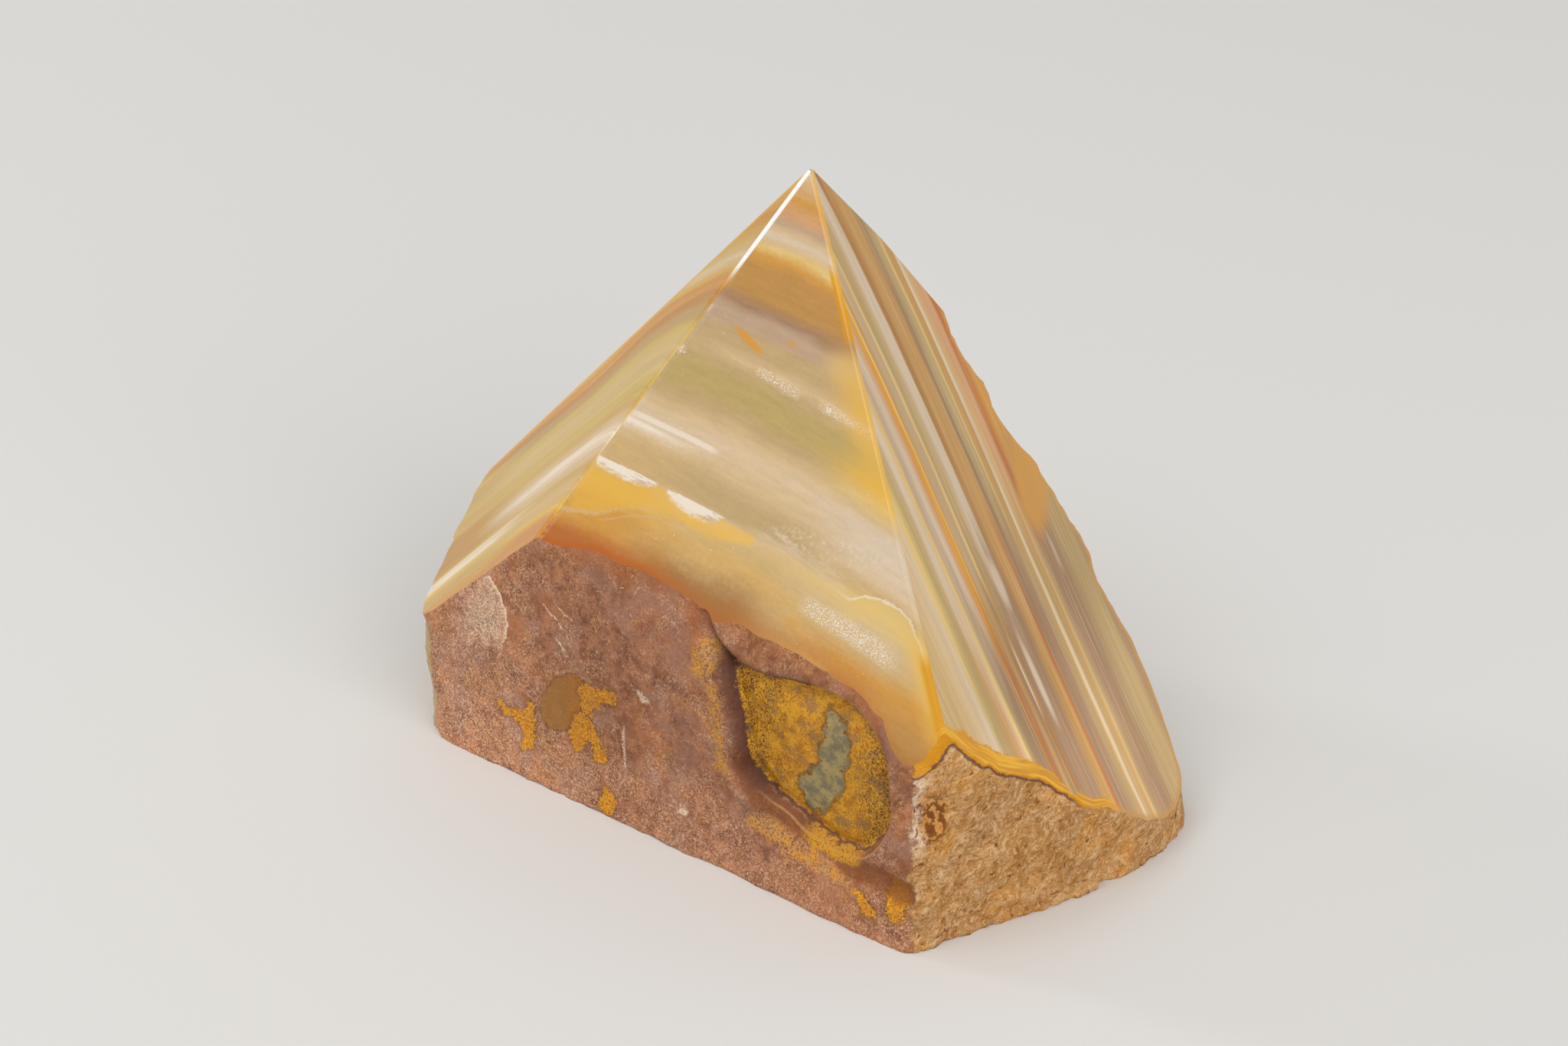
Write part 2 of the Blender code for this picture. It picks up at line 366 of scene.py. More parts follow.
CLEFT = ((2.4, 28.2), (3.0, 26.7), (4.2, 25.4), (6.2, 24.6))
CLEFT_SIZE = (1.2, 1.0)
TROUGH = ((9.0, 12.4), (11.5, 10.2), (15.5, 8.9), (20.0, 7.7), (25.0, 7.5), (29.0, 6.8))
TROUGH_SIZE = (2.6, 0.9)
MATRIX_SWELLS = (
    ((-0.6, 20.0), 9.0, 1.2),
    ((-7.6, 16.5), 3.2, -1.0),
    ((5.0, 7.0), 7.0, 0.4),
    ((24.0, 5.0), 7.0, 0.5),
)
MATRIX_STEP = (13.4, 14.8, 0.8)
STEP_TOP = (7.5, 3.0)
CHIPS = (
    (9.5, 39.5, 6.0, 2.4),
    (22.0, 45.8, 5.2, 1.9),
    (4.0, 31.5, 4.5, 0.9),
    (357.0, 22.0, 5.0, 1.0),
    (38.0, 30.0, 9.0, 1.8),
    (62.0, 22.0, 9.0, 1.8),
    (24.0, 13.0, 9.0, 1.6),
    (80.0, 9.0, 7.0, 1.2),
    (102.0, 20.0, 8.0, 1.4),
    (136.0, 12.0, 9.0, 1.5),
)


def swell(place, swells):
    return sum(height * bump((place - Vector(centre)).length, radius) for centre, radius, height in swells)


def shoulder_roll(place):
    """How far the rind has rolled in below the front facet."""
    for start, end in zip(RIM, RIM[1:]):
        if place.x < end[0]:
            break
    share = (place.x - start[0]) / (end[0] - start[0])
    height, depth = (start[i] + (end[i] - start[i]) * share for i in (1, 2))
    return depth * smooth_step(*ROLL_BELOW, place.y - height)


def rind_relief(place, inside):
    """The rind swells and rolls, and sinks into the eye, its cleft and the trough below it."""
    relief = swell(place, RIND_SWELLS) - shoulder_roll(place)
    relief -= EYE_DEPTH * smooth_step(0.0, EYE_WALL, inside)
    relief += EYE_RIM_HEIGHT * bump(inside + EYE_RIM_OUTSIDE, EYE_RIM_WIDTH)
    for path, (half_width, depth) in ((CLEFT, CLEFT_SIZE), (TROUGH, TROUGH_SIZE)):
        relief -= depth * bump(distance_to_path(place, path), half_width)
    return relief


def matrix_relief(place):
    """The host rock swells under its crust and steps back at its far end."""
    start, end, depth = MATRIX_STEP
    step = depth * smooth_step(start, end, place.x) * smooth_step(*STEP_TOP, place.y)
    return swell(place, MATRIX_SWELLS) - step


def chip_relief(point, azimuth, reach):
    """The deepest of the chips that reach this point of the broken wall."""
    deepest = 0.0
    for facing, centre_height, radius, depth in CHIPS:
        distance = (point - direction(facing) * reach - UP * centre_height).length
        deepest = min(deepest, -depth * max(0.0, 1.0 - (distance / radius) ** 2))
    return deepest


print("The eye's floor lies", round(-rind_relief(Vector((17.0, 18.5)), 5.0), 1), "mm deep")

# %% [markdown]
# ## The grain of each surface
#
# Now comes what the solid leaves out. Under a loupe the rind is finely pitted, and the pale flake
# stands a little above it. The eye's floor is granular, with a thin stepped rim. The host rock is
# crumbly, with small holes drawn out along its bedding. The broken walls carry the shallow ripples
# of a shell-shaped fracture. A bump map could fake all that, but real relief also shows along the
# outline, so the grain is in the mesh. Heights are in millimetres, and a noise has so many humps
# to the millimetre.

# %% The grain of each surface
PIT_SHARE = 0.42
RIND_WAVES, WAVES_PER_MM = 0.10, 0.55
RIND_PITS, PITS_PER_MM, PIT_SPACING = 0.06, 1.9, 2.2
FLAKE_HEIGHT, FLAKE_FRAY = 0.22, 0.7
EYE_GRAIN, EYE_GRAINS_PER_MM = 0.14, 1.6
RIM_STEPS = ((-0.1, 0.14), (0.35, 0.22))
STEP_DROP, STEP_FADE = 0.25, 2.2
ROCK_GRAIN, ROCK_GRAINS_PER_MM = 0.34, 0.8
ROCK_HOLE_SPACING, ROCK_HOLE_DEPTH = 0.85, 0.42
BEDDING_SQUEEZE = 1.7
BREAK_RIPPLE, RIPPLES_PER_MM = 0.10, 2.1


def pit(point, spacing, depth):
    """A small round hole near each point of an uneven swarm."""
    distances, _ = noise.voronoi(point / spacing)
    return -depth * bump(distances[0], PIT_SHARE)


def rind_grain(point, inside, on_flake):
    grain = RIND_WAVES * noise.fractal(point * WAVES_PER_MM, 1.0, 2.0, 3)
    grain += RIND_PITS * noise.noise(point * PITS_PER_MM) + pit(point, PIT_SPACING, RIND_PITS)
    frayed = on_flake + FLAKE_FRAY * noise.noise(point * 0.9)
    grain += FLAKE_HEIGHT * smooth_step(-0.2, 0.3, frayed) * smooth_step(4.5, 0.5, on_flake)
    granular = noise.fractal(point * EYE_GRAINS_PER_MM, 1.0, 2.0, 2)
    grain += EYE_GRAIN * granular * smooth_step(0.8, 2.0, inside)
    for at, height in RIM_STEPS:
        rise, fade = smooth_step(at, at + STEP_DROP, inside), smooth_step(at, at + STEP_FADE, inside)
        grain -= height * (rise - fade)
    return grain


def rock_grain(point):
    flat = Vector((point.x, point.y, point.z * BEDDING_SQUEEZE))
    grain = ROCK_GRAIN * noise.fractal(flat * ROCK_GRAINS_PER_MM, 0.8, 2.1, 4)
    holed = smooth_step(-0.2, 0.3, noise.noise(flat * 0.7))
    return grain + pit(flat, ROCK_HOLE_SPACING, ROCK_HOLE_DEPTH) * holed


def break_grain(point):
    swirl = point.length * 0.9 + 2.0 * noise.noise(point * 0.12)
    rippled = smooth_step(-0.2, 0.5, noise.noise(point * 0.2))
    return BREAK_RIPPLE * math.sin(swirl * RIPPLES_PER_MM) * rippled


print("Grain on the rock at one place:", round(rock_grain(Vector((10.0, -30.0, 8.0))), 2), "mm")

# %% [markdown]
# ## Marks that the materials will read
#
# While the mesh is made, each of its points keeps a few numbers: how far inside the eye it is, how
# deep in the trough, whether it is rind, rock or break. Blender calls them attributes, and a
# material can read them. They tie the colours to the relief, so an ochre floor ends exactly where
# the hollow does. The finish of rock or break reaches a little further round the stone than its
# relief does, so those two have spans of their own.

# %% Marks on each point
MARKS = ("eye", "flake", "trough", "rock", "broken", "rind_place", "rock_place", *drawn)
FAR_OUTSIDE = -4.0
LOOKS_LIKE = {"rock": (289.5, 346.0, 7.0), "broken": (-8.0, 168.0, 8.0)}
GRAIN_STARTS, GRAIN_FULL = -0.5, 2.2
GROUND_AWAY = -3.0
BROAD_LUMPS, BROAD_PER_MM = 0.3, 0.16
ROCK_LUMPS, BREAK_LUMPS, LUMPS_PER_MM = 0.3, 0.5, 0.45
OTHER_LUMPS = Vector((9.0, 4.0, 2.0))


def below_lap(point):
    """How deep a point lies under the facets, below 0 where it will be ground away."""
    return min((at - point).dot(normal) for at, normal, _ in laps)


def lump_point(azimuth, height):
    """One point of the rough lump's skin, and its marks."""
    reach = wall_radius(azimuth, height)
    outward = direction(azimuth)
    point = outward * reach + UP * height
    depth = below_lap(point)
    if depth < GROUND_AWAY:
        return point, {}
    settled = smooth_step(GRAIN_STARTS, GRAIN_FULL, depth)
    moved = point.copy()
    on_rind, on_rock, on_break = (share_of(span, azimuth) for span in ZONES.values())
    marks = {kind: share_of(span, azimuth) for kind, span in LOOKS_LIKE.items()}
    on_wall = Vector((point.dot(along(RIND_FACING)), height))
    marks["rind_place"] = on_wall.x
    marks["rock_place"] = point.dot(along(ROCK_FACING))
    marks["eye"] = marks["flake"] = FAR_OUTSIDE
    for name, outlines in drawn.items():
        marks[name] = max(outline.depth(on_wall) for outline in outlines) if on_rind else FAR_OUTSIDE
    if on_rind > 0.0:
        inside, on_flake = eye.depth(on_wall), flake.depth(on_wall)
        marks["eye"], marks["flake"] = inside, on_flake
        marks["trough"] = bump(distance_to_path(on_wall, TROUGH), TROUGH_SIZE[0])
        relief = rind_relief(on_wall, inside) + rind_grain(point, inside, on_flake) * settled
        moved += direction(RIND_FACING) * relief * on_rind
    if on_rock > 0.0:
        relief = matrix_relief(Vector((marks["rock_place"], height))) + rock_grain(point) * settled
        moved += direction(ROCK_FACING) * relief * on_rock
    moved += outward * BROAD_LUMPS * noise.fractal(point * BROAD_PER_MM, 1.0, 2.0, 3)
    lumps = noise.fractal(point * LUMPS_PER_MM + OTHER_LUMPS, 1.0, 2.0, 3)
    moved += outward * lumps * (ROCK_LUMPS * on_rock + BREAK_LUMPS * on_break)
    if on_break > 0.0:
        moved += outward * (chip_relief(point, azimuth, reach) + break_grain(point)) * on_break
    return moved, marks


print("Each point of the skin keeps", len(MARKS), "marks")

# %% [markdown]
# ## Rings of points
#
# The lump is a stack of rings, like a coil pot. They are closest together where the camera sees
# most, on the rind and the rock. The foot of the stone is a sawn edge that has been knocked about,
# so the lowest ring is drawn in a little, unevenly.

# %% Rings of points
LUMP_HEIGHT = 72.0
FRONT_SPACING, BACK_SPACING = 0.32, 0.62
FRONT = (176.0, 345.0)
ROW_SPACINGS = ((30.0, 0.32), (52.0, 0.5), (LUMP_HEIGHT, 2.0))
FIRST_ROW = 0.25
LEVEL, LOOK_AHEAD = 10.0, 0.5
FOOT_WEAR, WEAR_PER_MM = 0.22, 0.6


def column_azimuths():
    """Directions round the lump, closest together at the front."""
    azimuths, azimuth = [], 0.0
    while azimuth < 360.0:
        azimuths.append(azimuth)
        reach, ahead = (wall_radius(azimuth + turn, LEVEL) for turn in (0.0, LOOK_AHEAD))
        skew = math.atan2((ahead - reach) / math.radians(LOOK_AHEAD), reach)
        spacing = FRONT_SPACING if FRONT[0] < azimuth < FRONT[1] else BACK_SPACING
        azimuth += math.degrees(spacing * math.cos(skew) / reach)
    return azimuths


def row_heights():
    heights, height = [0.0], FIRST_ROW
    for top, spacing in ROW_SPACINGS:
        while height < top - spacing / 2:
            heights.append(height)
            height += spacing
    return heights + [LUMP_HEIGHT]


def make_lump():
    """The rough lump: rings of points, closed below by the sawn face and above by a lid."""
    shape = bmesh.new()
    layers = {mark: shape.verts.layers.float.new(mark) for mark in MARKS}
    azimuths = column_azimuths()
    rings = []
    for height in row_heights():
        ring = []
        for azimuth in azimuths:
            point, marks = lump_point(azimuth, height)
            if height == 0.0:
                point -= direction(azimuth) * FOOT_WEAR * (0.5 + noise.noise(point * WEAR_PER_MM))
            corner = shape.verts.new((point - MIDDLE) * MM)
            for mark, value in marks.items():
                corner[layers[mark]] = value
            ring.append(corner)
        rings.append(ring)
    for lower, upper in zip(rings, rings[1:]):
        for i in range(len(azimuths)):
            j = (i + 1) % len(azimuths)
            shape.faces.new((lower[i], lower[j], upper[j], upper[i]))
    sawn = shape.faces.new(reversed(rings[0]))
    shape.faces.new(rings[-1])
    return shape, sawn


SKIN, LEFT, FACE, RIGHT, SAWN = range(5)
shape, sawn = make_lump()
sawn.material_index = SAWN
print(len(shape.verts), "points in the lump")

# %% [markdown]
# ## Grinding the facets
#
# Each plane takes its slice, and the open rim is filled with one flat face. Every such face is
# then scored with a fine grid, because the distance to the broken rim will be stored at the
# points, and a face without inner points can't hold it.

# %% Grind the facets
MATERIAL_OF = {
    "left": LEFT, "back_left": RIGHT, "front": FACE, "right": RIGHT, "back_right": RIGHT, "back": RIGHT,
}
POLISHED = (LEFT, FACE, RIGHT)
GRID = 1.25
WELD = 1e-7


def grind(shape, point, normal, material):
    """Cuts away what lies outside a plane and closes the cut with a polished face."""
    geometry = shape.verts[:] + shape.edges[:] + shape.faces[:]
    cut = bmesh.ops.bisect_plane(
        shape, geom=geometry, plane_co=(point - MIDDLE) * MM, plane_no=normal, clear_outer=True, dist=WELD
    )
    rim = [item for item in cut["geom_cut"] if isinstance(item, bmesh.types.BMEdge)]
    filled = bmesh.ops.edgeloop_fill(shape, edges=rim)
    for face in filled["faces"]:
        face.material_index = material
        face.smooth = False


def score(shape, axis):
    """Scores the polished faces with a row of cuts, without taking anything away."""
    normal = Vector((axis == 0, axis == 1, 0.0))
    low, high = (corner[axis] / MM for corner in cad_box)
    at = low + GRID / 2
    while at < high:
        near = [
            face for face in shape.faces
            if face.material_index in POLISHED
            and min(c.co[axis] for c in face.verts) < at * MM < max(c.co[axis] for c in face.verts)
        ]
        touched = {corner for face in near for corner in face.verts}
        sides = {edge for face in near for edge in face.edges}
        bmesh.ops.bisect_plane(
            shape, geom=[*touched, *sides, *near], plane_co=normal * at * MM, plane_no=normal, dist=WELD
        )
        at += GRID


for face in shape.faces:
    face.smooth = face.material_index == SKIN
for point, normal, name in ground:
    grind(shape, point, normal, MATERIAL_OF[name])
print(len(shape.faces), "faces after grinding")
for axis in (0, 1):
    score(shape, axis)
print(len(shape.faces), "faces after scoring")

# %% [markdown]
# ## How far from the rim
#
# Two things on the stone follow the rim between polish and skin: the ochre crust that shows in
# section along the top of the host rock, and the rusty glow of the agate over the rind. So every
# point keeps its distance to the nearest point of that rim.

# %% Distance to the rim
RIM_REACH = 8.0
FOOT_HEIGHT = 0.5
edge_layer = shape.verts.layers.float.new("edge")
rim = [
    corner for corner in shape.verts
    if {face.material_index == SKIN for face in corner.link_faces} == {True, False}
    and corner.co.z > FOOT_HEIGHT * MM
]
tree = kdtree.KDTree(len(rim))
for number, corner in enumerate(rim):
    tree.insert(corner.co, number)
tree.balance()
for corner in shape.verts:
    corner[edge_layer] = min(RIM_REACH, tree.find(corner.co)[2] / MM)
print("The rim has", len(rim), "points")

# %% Turn the shape into the stone
mesh = bpy.data.meshes.new("agate_stone")
shape.to_mesh(mesh)
shape.free()
stone = bpy.data.objects.new("agate_stone", mesh)
bpy.context.scene.collection.objects.link(stone)
mesh.calc_loop_triangles()
print("The stone has", len(mesh.loop_triangles), "triangles")

# %% [markdown]
# ## Writing shader maths as sums
#
# A material in Blender is a net of nodes. For arithmetic that soon gets hard to read, so one small
# class wraps an output socket and lets Python's own signs add the Math nodes. Everything else a
# material needs comes from one method that takes a node's type, its settings and its sockets.

# %% A small class for shader maths
class Field:
    """A value that varies over the stone: one output socket that Python's signs work on."""

    def __init__(self, finish, socket):
        self.finish, self.socket = finish, socket

    def math(self, operation, *terms):
        return self.finish.node("ShaderNodeMath", {"operation": operation}, dict(enumerate(terms)))

    def __add__(self, other):
        return self.math("ADD", self, other)

    def __sub__(self, other):
        return self.math("SUBTRACT", self, other)

    def __rsub__(self, other):
        return self.math("SUBTRACT", other, self)

    def __mul__(self, other):
        return self.math("MULTIPLY", self, other)

    def __truediv__(self, other):
        return self.math("DIVIDE", self, other)

    def __pow__(self, other):
        return self.math("POWER", self, other)

    def __abs__(self):
        return self.math("ABSOLUTE", self)

    def at_least(self, other):
        return self.math("MAXIMUM", self, other)

    def at_most(self, other):
        return self.math("MINIMUM", self, other)

    __radd__, __rmul__ = __add__, __mul__


class Finish:
    """A material in the making."""

    def __init__(self, name):
        self.material = bpy.data.materials.new(name)
        self.material.use_nodes = True
        self.tree = self.material.node_tree
        self.shader = self.tree.nodes["Principled BSDF"]

    def node(self, kind, settings=None, sockets=None, output=0):
        """Adds a node. The settings come first, because some of them decide which sockets there are."""
        made = self.tree.nodes.new(kind)
        for name, value in (settings or {}).items():
            if name == "stops":
                self.set_stops(made.color_ramp, value)
            else:
                setattr(made, name, value)
        for name, value in (sockets or {}).items():
            self.set_socket(made.inputs[name], value)
        return Field(self, made.outputs[output])

    def set_stops(self, ramp, stops):
        while len(ramp.elements) < len(stops):
            ramp.elements.new(0.5)
        for element, (place, colour) in zip(ramp.elements, stops):
            element.position, element.color = place, (*colour, 1.0)

    def set_socket(self, socket, value):
        if isinstance(value, Field):
            self.tree.links.new(value.socket, socket)
        elif socket.type == "RGBA":
            socket.default_value = (*value, 1.0)
        else:
            socket.default_value = value

    def set(self, **inputs):
        """Sets the shader's own sockets, by name with _ for a space."""
        for name, value in inputs.items():
            self.set_socket(self.shader.inputs[name.replace("_", " ")], value)


print("A Field can add, take away, multiply and divide")

# %% [markdown]
# ## Words for common steps
#
# These helpers give names to the steps that every finish below repeats: reading the place on the
# stone in millimetres, a soft step, noise, laying coats of colour, and reading a mark. They let a
# finish read as a painter's recipe: a ground, and then one coat after another, each with the
# share of the surface that it covers.

# %% Words for common steps
def place_on(finish):
    """The place on the stone, in millimetres from the middle of its footprint."""
    local = finish.node("ShaderNodeTexCoord", output="Object")
    return finish.node("ShaderNodeVectorMath", {"operation": "SCALE"}, {0: local, "Scale": 1000.0})


def dot(place, axis):
    settings = {"operation": "DOT_PRODUCT"}
    return place.finish.node("ShaderNodeVectorMath", settings, {0: place, 1: tuple(axis)}, "Value")


def moved(place, offset, stretch=(1.0, 1.0, 1.0)):
    """The place shifted and stretched, for noise that must be longer one way."""
    settings = {"operation": "MULTIPLY_ADD"}
    shift = tuple(o * s for o, s in zip(offset, stretch))
    return place.finish.node("ShaderNodeVectorMath", settings, {0: place, 1: stretch, 2: shift})


def rise(value, low, high):
    """A soft step from 0 at low to 1 at high. Low may be above high, and then the step falls."""
    sockets = {"Value": value, "From Min": low, "From Max": high}
    settings = {"interpolation_type": "SMOOTHSTEP"}
    return value.finish.node("ShaderNodeMapRange", settings, sockets)


def between(value, low, high, soft):
    """1 between two values, with soft edges."""
    return rise(value, low - soft, low + soft) * rise(value, high + soft, high - soft)


def grain(place, per_mm, detail=3.0, roughness=0.5):
    """Even noise, about 0.5 on average."""
    sockets = {"Vector": place, "Scale": per_mm, "Detail": detail, "Roughness": roughness}
    return place.finish.node("ShaderNodeTexNoise", {"noise_dimensions": "3D"}, sockets)


def cells(place, per_mm):
    """Distance to the nearest of a swarm of points."""
    return place.finish.node("ShaderNodeTexVoronoi", {}, {"Vector": place, "Scale": per_mm}, "Distance")


def join(x, y, z):
    finish = next(part.finish for part in (x, y, z) if isinstance(part, Field))
    return finish.node("ShaderNodeCombineXYZ", sockets={0: x, 1: y, 2: z})


def mix(share, base, over):
    """Lays one colour over another by a share from 0 to 1. Sockets 6 and 7 are the node's colours."""
    return share.finish.node("ShaderNodeMix", {"data_type": "RGBA"}, {0: share, 6: base, 7: over}, 2)


def painted(colour, *coats):
    """Lays coats over a colour, one after another. Each is a share and a tint."""
    for share, tint in coats:
        colour = mix(share, colour, tint)
    return colour


def shade(colour, value):
    """Makes a colour lighter or darker by a value near 1."""
    finish = colour.finish
    return finish.node("ShaderNodeVectorMath", {"operation": "SCALE"}, {0: colour, "Scale": value})


def clearer(colour, more, less):
    """Stretches a colour away from grey, to make up for the pale shine of the polish."""
    finish = colour.finish
    settings = {"operation": "MULTIPLY_ADD"}
    stretched = finish.node("ShaderNodeVectorMath", settings, {0: colour, 1: (more,) * 3, 2: less})
    return finish.node("ShaderNodeVectorMath", {"operation": "MAXIMUM"}, {0: stretched, 1: (0.01,) * 3})


def torn(place, per_mm, amount):
    """The place pushed about by noise, which frays whatever is drawn with it."""
    sockets = {"Vector": place, "Scale": per_mm, "Detail": 3.0}
    push = place.finish.node("ShaderNodeTexNoise", {"noise_dimensions": "3D"}, sockets, "Color")
    settings = {"operation": "MULTIPLY_ADD"}
    return place.finish.node("ShaderNodeVectorMath", settings, {0: push, 1: (amount,) * 3, 2: place})


def mark(finish, name):
    return finish.node("ShaderNodeAttribute", {"attribute_name": name}, output="Fac")


def shown(red, green, blue):
    """A colour as a screen shows it, 0 to 255, as the light that Blender works with."""
    channels = (value / 255.0 for value in (red, green, blue))
    return tuple(c / 12.92 if c <= 0.04045 else ((c + 0.055) / 1.055) ** 2.4 for c in channels)


print("Middle grey on a screen is", round(shown(128, 128, 128)[0], 3), "of the light")

# %% [markdown]
# ## The layers of the agate
#
# Agate grows in thin shells on the wall of a cavity, so its bands are nested, gently curved
# sheets. One formula for all of them is better than painting each facet: it gives every place in
# the stone its depth in the stack, in millimetres, and the layers then meet at the ridges as they
# do in a real stone. Only their tints are listed facet by facet, since a tint changes along its
# layer too. The formula is a plane that faces the rind, bent by five small terms.
#
# Two corrections follow the real stone: towards the base the layers bulge out, but not under the
# left facet, where they lie steeper instead.

# %% The layers of the agate
LAYER_AZIMUTH, LAYER_RISE = 232.95, 7.93
LAYER_CENTRE = Vector((0.0, 0.0, 33.0))
BEND_SIZE = 30.0
BENDS = {"aa": 0.848, "ab": -0.823, "bb": 0.929, "ad": -1.243, "bd": 0.767}
BULGE, BULGE_BELOW = -0.003, 39.0
LEFT_STEEPER, LEFT_CURVE, LEFT_REACH = -0.75, 0.6, 22.0
TOP_STEEPER = -0.2

layer_normal = facing_up(LAYER_AZIMUTH, 90.0 - LAYER_RISE)
layer_level = along(LAYER_AZIMUTH)
layer_up = layer_normal.cross(layer_level)
tip = TIP - MIDDLE


def below_facet(place, name):
    """How deep a place lies under a facet's plane."""
    normal = NORMALS[name]
    return tip.dot(normal) - dot(place, normal)


def depth_in_stack(place):
    """The layer that a place in the stone belongs to, in millimetres from the middle one."""
    a, b, d = (
        (dot(place, axis) - LAYER_CENTRE.dot(axis)) / BEND_SIZE
        for axis in (layer_level, layer_up, layer_normal)
    )
    depth = d * -BEND_SIZE + a * a * BENDS["aa"] + a * b * BENDS["ab"] + b * b * BENDS["bb"]
    depth = depth + a * d * BENDS["ad"] + b * d * BENDS["bd"]
    up = dot(place, UP)
    low = (BULGE_BELOW - up).at_least(0.0)
    on_left = rise(dot(place, (1.0, 0.0, 0.0)), tip.x, tip.x - 6.0)
    under_front = below_facet(place, "front").at_least(0.0).at_most(LEFT_REACH)
    bulge = low * low * BULGE * (1.0 - on_left * rise(under_front, 0.0, 8.0))
    steeper = under_front**LEFT_CURVE * LEFT_STEEPER + under_front * rise(up, 36.0, 50.0) * TOP_STEEPER
    return depth + bulge + on_left * steeper


def spread(place, name):
    """Where a place on a facet is: millimetres to the right of the tip, and down the slope."""
    azimuth, slope = FACETS[name]
    down = direction(azimuth) * math.cos(math.radians(slope)) - UP * math.sin(math.radians(slope))
    return tuple(dot(place, axis) - tip.dot(axis) for axis in (along(azimuth), down))


print("The layers face", [round(value, 2) for value in layer_normal])

# %% [markdown]
# ## A palette of stone
#
# Band colours have names, as on a dyer's card. They are named once, so that the same cream or
# honey comes back in many bands, as one mineral solution left the same tint again and again.

# %% A palette of stone
WHITE = shown(236, 222, 204)
PEARL = shown(214, 194, 168)
CREAM = shown(210, 182, 140)
SAND = shown(203, 172, 122)
BEIGE = shown(192, 164, 120)
LAVENDER = shown(188, 160, 132)
LILAC = shown(206, 186, 160)
OLIVE = shown(186, 162, 108)
KHAKI = shown(178, 152, 108)
STRAW = shown(222, 190, 122)
YELLOW = shown(226, 178, 84)
HONEY = shown(206, 152, 80)
AMBER = shown(216, 150, 52)
TAN = shown(188, 142, 84)
BARK = shown(156, 110, 66)
GOLD = shown(192, 150, 96)
UMBER = shown(166, 118, 68)
EMBER = shown(184, 112, 64)
RUST = shown(188, 98, 44)
BLUSH = shown(206, 158, 116)
PINK = shown(215, 190, 156)
MAUVE = shown(164, 130, 102)
DUSK = shown(156, 126, 98)
LEMON = shown(234, 186, 86)
BRASS = shown(214, 150, 4)
BISCUIT = shown(204, 180, 122)
APRICOT = shown(210, 172, 110)
REED = shown(208, 184, 138)
print("The whitest tint is", [round(value, 2) for value in WHITE])

# %% [markdown]
# ## Bands from a list
#
# A colour ramp takes up to 32 stops, which is enough for most lists. Each list gives a depth in
# the stack and the tint there. The same ramp can hold a drawn line: then its greys are the
# line's height at each place.

# %% Bands from a list
def bands(depth, stops):
    """The tint of each layer: stops are (depth in millimetres, colour), from low to high."""
    first, last = stops[0][0], stops[-1][0]
    along_ramp = (depth - first) / (last - first)
    places = [((at - first) / (last - first), colour) for at, colour in stops]
    return along_ramp.finish.node("ShaderNodeValToRGB", {"stops": places}, {0: along_ramp})


def course(value, points):
    """A drawn line: its height at a value, through (value, height) points."""
    heights = [height for _, height in points]
    low, span = min(heights), max(heights) - min(heights)
    return bands(value, [(at, ((height - low) / span,) * 3) for at, height in points]) * span + low


FRONT_LEFT = (
    (-20.0, UMBER), (-18.4, EMBER), (-17.4, HONEY), (-16.2, HONEY), (-15.4, YELLOW), (-14.9, YELLOW),
    (-14.5, SAND), (-13.6, SAND), (-12.8, SAND), (-12.2, CREAM), (-11.75, WHITE), (-11.5, PEARL),
    (-10.6, CREAM), (-9.9, BEIGE), (-9.0, OLIVE), (-8.0, OLIVE), (-7.2, BEIGE), (-6.4, BEIGE),
    (-5.6, LAVENDER), (-4.9, LAVENDER), (-4.3, MAUVE), (-3.6, TAN), (-2.1, TAN), (-1.7, HONEY),
    (-1.35, STRAW), (-1.05, CREAM), (-0.75, PEARL), (-0.4, CREAM), (0.1, LAVENDER), (0.8, BLUSH),
    (1.6, BLUSH), (3.0, PINK),
)
FRONT_MIDDLE = (
    (-20.0, UMBER), (-18.6, TAN), (-17.4, SAND), (-16.0, APRICOT), (-15.0, SAND), (-14.3, CREAM),
    (-13.8, BEIGE), (-13.0, BEIGE), (-12.2, CREAM), (-11.0, PINK), (-10.3, CREAM), (-9.7, BEIGE),
    (-8.9, OLIVE), (-8.0, OLIVE), (-7.4, BEIGE), (-6.9, CREAM), (-6.3, BEIGE), (-5.6, BEIGE),
    (-5.3, LAVENDER), (-4.8, LAVENDER), (-4.3, MAUVE), (-3.6, TAN), (-2.3, TAN), (-1.7, HONEY),
    (-1.3, STRAW), (-1.0, CREAM), (-0.7, PEARL), (-0.3, CREAM), (0.1, LAVENDER), (0.6, BLUSH),
    (1.6, HONEY), (3.0, PINK),
)
FRONT_RIGHT = (
    (-20.5, UMBER), (-18.6, TAN), (-17.2, HONEY), (-16.2, SAND), (-15.2, CREAM), (-14.2, STRAW),
    (-13.6, SAND), (-13.0, PINK), (-12.0, PEARL), (-11.0, PEARL), (-10.4, CREAM), (-9.8, STRAW),
    (-9.0, YELLOW), (-8.2, OLIVE), (-7.4, STRAW), (-7.0, CREAM), (-6.5, YELLOW), (-5.6, SAND),
    (-5.1, CREAM), (-4.7, LAVENDER), (-4.3, LAVENDER), (-3.8, TAN), (-2.3, TAN), (-1.6, HONEY),
    (-1.3, YELLOW), (-0.9, CREAM), (-0.3, CREAM), (0.2, BLUSH), (1.0, HONEY), (3.0, PINK),
)
print("The front facet shows", len(FRONT_MIDDLE), "bands in its middle")

# %% [markdown]
# ## The front facet
#
# The layers meet this facet almost flat on, so its bands are broad and cloudy: a slow noise moves
# their edges. All that is drawn on the facet shares a few values, which a small class works out
# once: the place on it, the layer, the distance to the rim, and noises from broad to fine.

